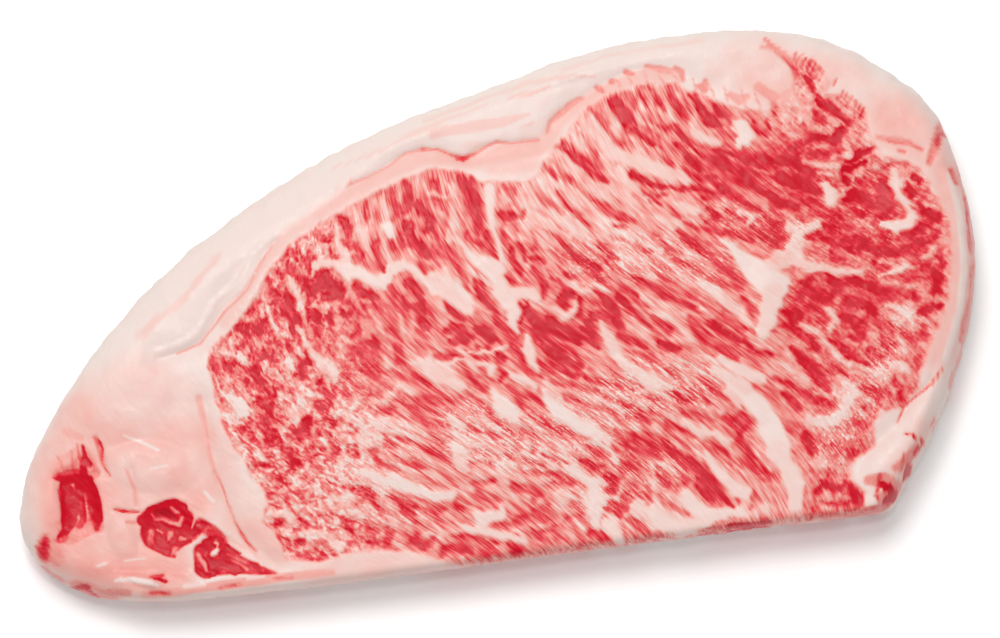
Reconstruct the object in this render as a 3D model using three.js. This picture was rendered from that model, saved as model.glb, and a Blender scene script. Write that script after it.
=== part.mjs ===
// A raw, heavily marbled ribeye steak, lying flat on its lower cut face.
// Millimetres. +X runs along the straight trimmed edge towards the thick end, +Y towards the
// fat cap, +Z up. The origin is on the resting face, below the middle of the steak's box.
//
// The steak is one piece of meat, so it is one closed solid. Its outline is a smooth closed
// curve through a few points, each of which also says what kind of edge the meat has there.
// Rings climb that edge from the resting face to the upper cut face, and then run inwards to a
// spine, following the low relief of the face: fat lobes, sunken muscles and seams.

import * as THREE from "three";
import { mergeVertices } from "three/addons/utils/BufferGeometryUtils.js";

// ---- driving dimensions ----

const THICKNESS = 22; // resting face to upper cut face, half way along
const TAPER = 0.008; // how much thinner the meat gets for each millimetre towards the tail

// Edges. shoulder: how far the upper rim is set in. square: how boxy the shoulder is (2 is an
// ellipse). widest: height of the widest point. toe: how far the resting face is set in.
const TAIL_TIP = { shoulder: 8, square: 2.1, widest: 9, toe: 4 };
const THICK_CAP = { shoulder: 11, square: 2.1, widest: 8, toe: 5 };
const THIN_CAP = { shoulder: 6.5, square: 2.2, widest: 9, toe: 4 };
const RIND = { shoulder: 5.5, square: 1.9, widest: 7, toe: 2.5 };
const TRIMMED = { shoulder: 2.6, square: 2.6, widest: 14, toe: 2.5 };

// The outline seen from above, anticlockwise from the tip of the tail.
const OUTLINE = [
  // tail and the lower corner of its tip
  [-122.7, -41, TAIL_TIP],
  [-121.3, -48, TAIL_TIP],
  [-116.5, -54.5, TAIL_TIP],
  [-107, -60.6, TAIL_TIP],
  // straight trimmed edge
  [-90, -63.8, TRIMMED],
  [-60, -64.3, TRIMMED],
  [-20, -63.5, TRIMMED],
  [20, -62.4, TRIMMED],
  [60, -61.5, TRIMMED],
  [88, -61, TRIMMED],
  // corner, and the side with the thin rind
  [94, -60.2, RIND],
  [98, -55, RIND],
  [107, -42, RIND],
  [115, -26, RIND],
  [121.2, -8, RIND],
  [122.6, 8, RIND],
  [120, 26, RIND],
  // fat cap, from the thick end back to the tail
  [115.5, 39, THIN_CAP],
  [106, 49, THIN_CAP],
  [92, 58.3, THIN_CAP],
  [75, 63, THIN_CAP],
  [50, 64, THIN_CAP],
  [25, 61, THIN_CAP],
  [0, 54.3, THIN_CAP],
  [-20, 49, THIN_CAP],
  [-40, 41.7, THICK_CAP],
  [-60, 31.3, THICK_CAP],
  [-80, 18.5, THICK_CAP],
  [-99.5, 0.5, THICK_CAP],
  [-110, -12.5, TAIL_TIP],
  [-119.5, -28, TAIL_TIP],
];

// The rings shrink to this line, which runs along the middle of the meat.
const SPINE = [new THREE.Vector2(-88, -38), new THREE.Vector2(66, 0)];

// Low relief of the upper cut face.
// A lobe is a soft oval swelling, or a hollow where its height is negative.
const LOBES = [
  { at: [8, -4], radii: [95, 50], turn: 12, height: 1.2 }, // crown of the eye
  { at: [-92, -13], radii: [16, 11], turn: 35, height: 0.9 }, // fat above the tail
  { at: [-88, -31], radii: [13, 7], turn: -15, height: 1.0 }, // fat across the tail
  { at: [-116, -38], radii: [6, 11], turn: 0, height: 0.9 }, // rolled tip of the tail
  { at: [-97, -47], radii: [4, 7], turn: 10, height: 0.8 }, // kernel of fat
  { at: [-95, -58.5], radii: [10, 3], turn: -6, height: 1.0 }, // fold at the lower edge
  { at: [-86, -46], radii: [7, 7], turn: 0, height: -0.7 }, // round muscle in the tail
  { at: [-73, -54], radii: [9, 6], turn: -25, height: -0.7 }, // pointed muscle in the tail
  { at: [-107, -37], radii: [6, 10], turn: 8, height: -0.8 }, // dark strip in the tail
  { at: [94, -48], radii: [10, 5], turn: 35, height: 1.1 }, // fat at the corner
  { at: [104, -38], radii: [8, 5], turn: 52, height: 0.8 }, // fat above the corner
  { at: [68, -8], radii: [7, 16], turn: -10, height: 0.5 }, // forked fat seam
  { at: [96, 20], radii: [9, 8], turn: 0, height: -0.8 }, // sunken muscle at the thick end
];
// A seam is a groove along a smooth line.
const SEAMS = [
  {
    // between the fat cap and the silverskin over the eye
    points: [
      [-84, -4],
      [-73, -1],
      [-66, 9],
      [-55, 21],
      [-31, 34.5],
      [-12, 40.5],
      [-3, 37.5],
      [17, 41],
      [28, 50],
      [45, 55.5],
      [60, 49],
    ],
    width: 3,
    depth: 0.9,
  },
  {
    // between the tail and the fat that wraps the eye
    points: [
      [-74, -16],
      [-73, -30],
      [-68.5, -48],
      [-60, -58],
    ],
    width: 2.6,
    depth: 0.8,
  },
  {
    // inside the rind
    points: [
      [115, 22],
      [118, 5],
      [115, -12],
      [108, -28],
      [98, -38],
      [86, -49],
    ],
    width: 2.4,
    depth: 0.7,
  },
];

// ---- resolution ----

const AROUND = 156; // points round the outline
const LOWER_WALL_RINGS = 3;
const UPPER_WALL_RINGS = 5;
const FACE_RINGS = 14;
const INNERMOST = 0.93; // how far towards the spine the last ring lies
const SEAM_STEPS = 40; // pieces that a seam's line is measured with
const OUTLINE_STEPS = 1240; // pieces that the outline is measured with

// ---- outline ----

function outlineStations() {
  const curve = new THREE.CatmullRomCurve3(
    OUTLINE.map(([x, y]) => new THREE.Vector3(x, y, 0)),
    true,
    "centripetal",
  );
  curve.arcLengthDivisions = OUTLINE_STEPS;
  return Array.from({ length: AROUND }, (_, i) => {
    const t = curve.getUtoTmapping(i / AROUND);
    const place = curve.getPoint(t);
    return { point: new THREE.Vector2(place.x, place.y), edge: edgeAt(t) };
  });
}

// The edge's sizes at curve parameter t, eased between the two nearest outline points.
function edgeAt(t) {
  const along = t * OUTLINE.length;
  const before = Math.floor(along) % OUTLINE.length;
  const share = THREE.MathUtils.smoothstep(along - Math.floor(along), 0, 1);
  const [a, b] = [OUTLINE[before][2], OUTLINE[(before + 1) % OUTLINE.length][2]];
  const edge = {};
  for (const size of Object.keys(a)) edge[size] = THREE.MathUtils.lerp(a[size], b[size], share);
  return edge;
}

function nearestOnSpine(point) {
  const [start, end] = SPINE;
  const run = end.clone().sub(start);
  const share = point.clone().sub(start).dot(run) / run.lengthSq();
  return start.clone().addScaledVector(run, THREE.MathUtils.clamp(share, 0, 1));
}

// ---- relief ----

function lobeHeight(lobe, x, y) {
  const turn = THREE.MathUtils.degToRad(lobe.turn);
  const [dx, dy] = [x - lobe.at[0], y - lobe.at[1]];
  const along = (dx * Math.cos(turn) + dy * Math.sin(turn)) / lobe.radii[0];
  const across = (dy * Math.cos(turn) - dx * Math.sin(turn)) / lobe.radii[1];
  const inside = Math.max(0, 1 - along * along - across * across);
  return lobe.height * inside * inside * (3 - 2 * inside);
}

const seamLines = SEAMS.map(({ points }) =>
  new THREE.SplineCurve(points.map(([x, y]) => new THREE.Vector2(x, y))).getPoints(SEAM_STEPS),
);

function distanceToLine(line, x, y) {
  let least = Infinity;
  for (let i = 1; i < line.length; i++) {
    const [a, b] = [line[i - 1], line[i]];
    const [ux, uy] = [b.x - a.x, b.y - a.y];
    const share = ((x - a.x) * ux + (y - a.y) * uy) / (ux * ux + uy * uy);
    const s = THREE.MathUtils.clamp(share, 0, 1);
    least = Math.min(least, Math.hypot(x - a.x - s * ux, y - a.y - s * uy));
  }
  return least;
}

function faceHeight(x, y) {
  let z = THICKNESS + TAPER * x;
  for (const lobe of LOBES) z += lobeHeight(lobe, x, y);
  SEAMS.forEach((seam, i) => {
    const off = distanceToLine(seamLines[i], x, y) / seam.width;
    z -= seam.depth * Math.exp(-off * off);
  });
  return z;
}

// ---- rings ----

// Turn 0 is the widest point of the edge, and a quarter turn is the upper rim or the resting face.
function wallPoint(station, inset, square, turn, fromZ, toZ) {
  const { point, inwards } = station;
  const out = Math.cos(turn) ** (2 / square);
  const rise = Math.sin(turn) ** (2 / square);
  const place = point.clone().addScaledVector(inwards, inset * (1 - out));
  return new THREE.Vector3(place.x, place.y, fromZ + (toZ - fromZ) * rise);
}

function lowerWallRing(stations, step) {
  const turn = (Math.PI / 2) * (1 - step / LOWER_WALL_RINGS);
  return stations.map((s) => wallPoint(s, s.edge.toe, 2, turn, s.edge.widest, 0));
}

function upperWallRing(stations, step) {
  const turn = (Math.PI / 2) * (step / UPPER_WALL_RINGS);
  return stations.map((s) => {
    const rim = s.point.clone().addScaledVector(s.inwards, s.edge.shoulder);
    const top = faceHeight(rim.x, rim.y);
    return wallPoint(s, s.edge.shoulder, s.edge.square, turn, s.edge.widest, top);
  });
}

function faceRing(stations, step) {
  const share = (INNERMOST * step) / FACE_RINGS;
  return stations.map((s) => {
    const rim = s.point.clone().addScaledVector(s.inwards, s.edge.shoulder);
    const place = rim.lerp(s.centre, share);
    return new THREE.Vector3(place.x, place.y, faceHeight(place.x, place.y));
  });
}

// ---- solid ----

// Fills the narrow strip that the last ring leaves open over the spine, with rungs between its
// lower and its upper side. The ring starts at the tail and runs along its lower side first.
function spineLadder(ring) {
  const farEnd = ring.reduce((best, p, i) => (p.x > ring[best].x ? i : best), 0);
  const corners = [];
  let [low, high] = [0, ring.length - 1];
  while (high - low > 1) {
    const lowMoves = low < farEnd && (high - 1 < farEnd || ring[low + 1].x <= ring[high - 1].x);
    if (lowMoves) corners.push(low, ++low, high);
    else corners.push(low, --high, high + 1);
  }
  return corners;
}

function steakGeometry() {
  const stations = outlineStations();
  for (const station of stations) {
    station.centre = nearestOnSpine(station.point);
    station.inwards = station.centre.clone().sub(station.point).normalize();
  }
  const rings = [];
  for (let i = 0; i < LOWER_WALL_RINGS; i++) rings.push(lowerWallRing(stations, i));
  for (let i = 0; i < UPPER_WALL_RINGS; i++) rings.push(upperWallRing(stations, i));
  for (let i = 0; i <= FACE_RINGS; i++) rings.push(faceRing(stations, i));

  const positions = rings.flatMap((ring) => ring.flatMap((p) => [p.x, p.y, p.z]));
  const triangles = [];
  for (let ring = 0; ring + 1 < rings.length; ring++) {
    for (let i = 0; i < AROUND; i++) {
      const next = (i + 1) % AROUND;
      const [a, b] = [ring * AROUND + i, ring * AROUND + next];
      const [c, d] = [a + AROUND, b + AROUND];
      triangles.push(a, b, d, a, d, c);
    }
  }
  for (const [a, b, c] of THREE.ShapeUtils.triangulateShape(rings[0], []))
    triangles.push(a, c, b);
  const lastRing = (rings.length - 1) * AROUND;
  triangles.push(...spineLadder(rings.at(-1)).map((corner) => lastRing + corner));

  const geometry = new THREE.BufferGeometry();
  geometry.setAttribute("position", new THREE.Float32BufferAttribute(positions, 3));
  geometry.setIndex(triangles);
  const closed = mergeVertices(geometry);
  closed.computeVertexNormals();
  return closed;
}

// ---- part ----

const meat = new THREE.MeshStandardMaterial({ color: 0xe0767a, roughness: 0.35, metalness: 0 });

const steak = new THREE.Mesh(steakGeometry(), meat);
steak.name = "steak";

const part = new THREE.Group();
part.add(steak);

export default part;
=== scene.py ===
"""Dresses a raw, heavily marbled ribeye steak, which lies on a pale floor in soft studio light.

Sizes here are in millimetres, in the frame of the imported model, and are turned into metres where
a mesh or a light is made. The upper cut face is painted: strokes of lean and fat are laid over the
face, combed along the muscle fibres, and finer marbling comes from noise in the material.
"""

import itertools
import math

import bpy
import numpy as np
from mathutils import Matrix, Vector
from mathutils.geometry import delaunay_2d_cdt


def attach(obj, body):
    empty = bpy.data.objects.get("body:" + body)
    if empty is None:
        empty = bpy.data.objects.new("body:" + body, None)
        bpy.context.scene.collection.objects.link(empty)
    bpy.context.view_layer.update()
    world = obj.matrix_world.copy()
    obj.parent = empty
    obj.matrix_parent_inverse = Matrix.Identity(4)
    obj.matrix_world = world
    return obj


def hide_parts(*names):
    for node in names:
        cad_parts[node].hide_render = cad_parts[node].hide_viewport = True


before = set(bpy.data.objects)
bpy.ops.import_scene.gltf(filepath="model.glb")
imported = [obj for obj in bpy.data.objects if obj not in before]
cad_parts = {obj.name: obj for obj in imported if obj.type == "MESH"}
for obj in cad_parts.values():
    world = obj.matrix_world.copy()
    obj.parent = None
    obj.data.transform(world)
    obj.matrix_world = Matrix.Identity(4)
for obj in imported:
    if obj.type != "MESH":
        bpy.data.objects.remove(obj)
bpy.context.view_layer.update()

bl_info = {
    "name": "Marbled steak",
    "version": (1, 0, 0),
    "blender": (4, 5, 0),
    "location": "View3D > Sidebar > Steak",
    "description": "Builds a raw marbled ribeye steak and a studio to show it in",
    "category": "Object",
}

MM = 0.001
NODE = "steak"
PIECE = "marbled_steak"

# ---- form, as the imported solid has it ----

THICKNESS = 22.0  # resting face to upper cut face, half way along
TAPER = 0.008  # how much thinner the meat gets for each millimetre towards the tail

# Edges: how far the upper rim is set in, how boxy the shoulder is, the height of the widest
# point, how far the resting face is set in, and how much of the wall is outer skin.
TAIL_TIP = (8.0, 2.1, 9.0, 4.0, 0.6)
THICK_CAP = (11.0, 2.1, 8.0, 5.0, 1.0)
THIN_CAP = (6.5, 2.2, 9.0, 4.0, 1.0)
RIND = (5.5, 1.9, 7.0, 2.5, 0.6)
TRIMMED = (2.6, 2.6, 14.0, 2.5, 0.0)

# The outline seen from above, anticlockwise from the tip of the tail.
OUTLINE = [
    (-122.7, -41, TAIL_TIP),
    (-121.3, -48, TAIL_TIP),
    (-116.5, -54.5, TAIL_TIP),
    (-107, -60.6, TAIL_TIP),
    (-90, -63.8, TRIMMED),
    (-60, -64.3, TRIMMED),
    (-20, -63.5, TRIMMED),
    (20, -62.4, TRIMMED),
    (60, -61.5, TRIMMED),
    (88, -61, TRIMMED),
    (94, -60.2, RIND),
    (98, -55, RIND),
    (107, -42, RIND),
    (115, -26, RIND),
    (121.2, -8, RIND),
    (122.6, 8, RIND),
    (120, 26, RIND),
    (115.5, 39, THIN_CAP),
    (106, 49, THIN_CAP),
    (92, 58.3, THIN_CAP),
    (75, 63, THIN_CAP),
    (50, 64, THIN_CAP),
    (25, 61, THIN_CAP),
    (0, 54.3, THIN_CAP),
    (-20, 49, THIN_CAP),
    (-40, 41.7, THICK_CAP),
    (-60, 31.3, THICK_CAP),
    (-80, 18.5, THICK_CAP),
    (-99.5, 0.5, THICK_CAP),
    (-110, -12.5, TAIL_TIP),
    (-119.5, -28, TAIL_TIP),
]

SPINE = np.array([(-88.0, -38.0), (66.0, 0.0)])  # the walls lean towards this line

# Swellings and hollows of the upper face: middle, radii, turn in degrees, height.
LOBES = [
    ((8, -4), (95, 50), 12, 1.2),
    ((-92, -13), (16, 11), 35, 0.9),
    ((-88, -31), (13, 7), -15, 1.0),
    ((-116, -38), (6, 11), 0, 0.9),
    ((-97, -47), (4, 7), 10, 0.8),
    ((-95, -58.5), (10, 3), -6, 1.0),
    ((-86, -46), (7, 7), 0, -0.7),
    ((-73, -54), (9, 6), -25, -0.7),
    ((-107, -37), (6, 10), 8, -0.8),
    ((94, -48), (10, 5), 35, 1.1),
    ((104, -38), (8, 5), 52, 0.8),
    ((68, -8), (7, 16), -10, 0.5),
    ((96, 20), (9, 8), 0, -0.8),
]

# Seams between muscles and fat: points, width, depth.
CAP_SEAM = [(-84, -4), (-73, -1), (-66, 9), (-55, 21), (-31, 34.5), (-12, 40.5), (-3, 37.5)]
CAP_SEAM += [(17, 41), (28, 50), (45, 55.5), (60, 49)]
TAIL_SEAM = [(-74, -16), (-73, -30), (-68.5, -48), (-60, -58)]
RIND_SEAM = [(115, 22), (118, 5), (115, -12), (108, -28), (98, -38), (86, -49)]
SEAMS = [(CAP_SEAM, 3.0, 0.9), (TAIL_SEAM, 2.6, 0.8), (RIND_SEAM, 2.4, 0.7)]

# ---- marbling ----
# Leanness runs from 0, white fat, over pink and salmon to 1, the deepest red. A stroke is its
# leanness in percent and then its dabs: x, y and the stroke's radius there, which is left out
# where it is that of the dab before.

# The border of the big muscle on the cut face, clockwise from its left end.
EYE = [
    (-66, 0), (-62, 4), (-57, 9.5), (-54.5, 14), (-49, 20), (-45, 22.5), (-41, 25), (-36, 27),
    (-30.6, 29.5), (-25.6, 31), (-18, 34), (-10.6, 36), (-4, 34.5), (1, 31), (6, 30), (13, 30),
    (17, 35), (21, 39), (28, 46.5), (35, 50), (45, 51.5), (52, 50.5), (58, 47), (65, 43.5),
    (73, 41.5), (80, 44), (81, 52), (86, 53), (88.5, 49), (88, 44), (94, 43), (98, 39), (98, 32),
    (101, 27), (106, 25.5), (110, 23), (112.5, 19), (113.5, 15), (115.5, 10), (115.5, 0),
    (114, -8), (110, -17), (106, -24), (104, -30), (100, -35), (92, -38), (91, -45), (85, -48),
    (84, -52), (87.5, -56), (86, -60.5), (60, -61.8), (20, -62.8), (-12, -63.2), (-20, -61),
    (-27, -58), (-42, -57.5), (-49, -59), (-57, -57), (-59, -51), (-62, -47), (-60, -43),
    (-60.5, -40.5), (-63.5, -37), (-65.5, -31), (-68, -26), (-69.5, -22), (-71, -12), (-72, -7.5),
    (-70.5, -3),
]

# Broad ground tones, inside and outside the eye.
FAT_GROUND = [
    (2, (-90, 5, 14), (-40, 40, 8), (20, 56, 6), (60, 60)),
    (18, (-105, -25, 16), (-95, -45), (-80, -30, 12)),
    (25, (-107, -36, 8), (-113, -52, 4), (-100, -57, 3), (-84, -58)),
    (12, (-118, -36, 2)),
    (13, (-96, -30, 4), (-90, -34)),
    (13, (-76, -34, 4)),
    (10, (-92, -12, 9), (-78, -16, 6)),
    (14, (-66, -45, 6), (-60, -53, 5)),
    (10, (-70, -30, 3), (-66, -42, 4)),
    (12, (-50, -61, 4), (0, -61), (60, -60)),
    (10, (66, 52, 7), (90, 50)),
    (16, (74, 47, 3), (80, 48, 2)),
    (17, (105, 36, 7), (117, 25, 6), (118, 0), (112, -24)),
    (5, (112, -29, 2.5), (104, -37), (97, -45), (88, -50)),
    (13, (104, -42, 2.5), (96, -52)),
]
LEAN_GROUND = [
    (38, (-40, 0, 60), (60, 0)),
    (48, (-60, -2, 8), (-62, -12, 6)),
    (46, (-50, 3, 7), (-36, 5, 8), (-20, 2, 5)),
    (44, (-58, -28, 7), (-48, -30, 6)),
    (46, (-35, -12, 10), (-22, -8, 6)),
    (26, (-45, -42, 7), (-30, -34, 10)),
    (28, (-36, 22, 6), (-24, 24)),
    (44, (-18, 24, 5), (-14, 15)),
    (20, (-9, 4, 5)),
    (54, (0, -7, 4), (14, -10, 6), (28, -5, 5)),
    (38, (-5, -14, 5), (-10, -24, 7)),
    (22, (-2, -36, 11), (12, -42, 6)),
    (20, (16, 30, 7), (24, 38, 6), (33, 42, 5)),
    (22, (18, 20, 8), (30, 26, 7), (38, 22, 6)),
    (24, (28, 12, 6), (44, 18)),
    (34, (42, 47, 4), (50, 46)),
    (50, (54, 30, 5), (60, 26)),
    (32, (24, 4, 5), (36, 6)),
    (32, (34, -18, 6), (46, -24, 7)),
    (30, (20, -26, 7), (36, -30, 5)),
    (40, (30, -42, 7), (40, -42, 6), (27, -50, 4)),
    (12, (20, -50, 3), (42, -56, 4)),
    (32, (40, 2, 6), (46, -8, 5)),
    (44, (55, -12, 5), (57, 12)),
    (28, (46, -34, 4)),
    (68, (66, 28, 6), (80, 25, 7), (89, 33, 4)),
    (50, (66, 16, 6), (78, 14)),
    (30, (79, 42, 6), (97, 32, 3)),
    (52, (88, 8, 6)),
    (68, (96, 18, 5), (106, 4, 6)),
    (48, (109, 14, 4)),
    (58, (76, -9, 6), (92, -7, 8), (107, -4, 5)),
    (48, (92, -18, 6), (78, -24, 5)),
    (42, (102, -14, 4), (103, -20)),
    (38, (86, -33, 6), (96, -32, 4)),
    (44, (78, -42, 5), (88, -42, 4)),
    (40, (79, -50, 4), (81, -56, 3)),
    (28, (104, 28, 3), (112, 24)),
]

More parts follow.
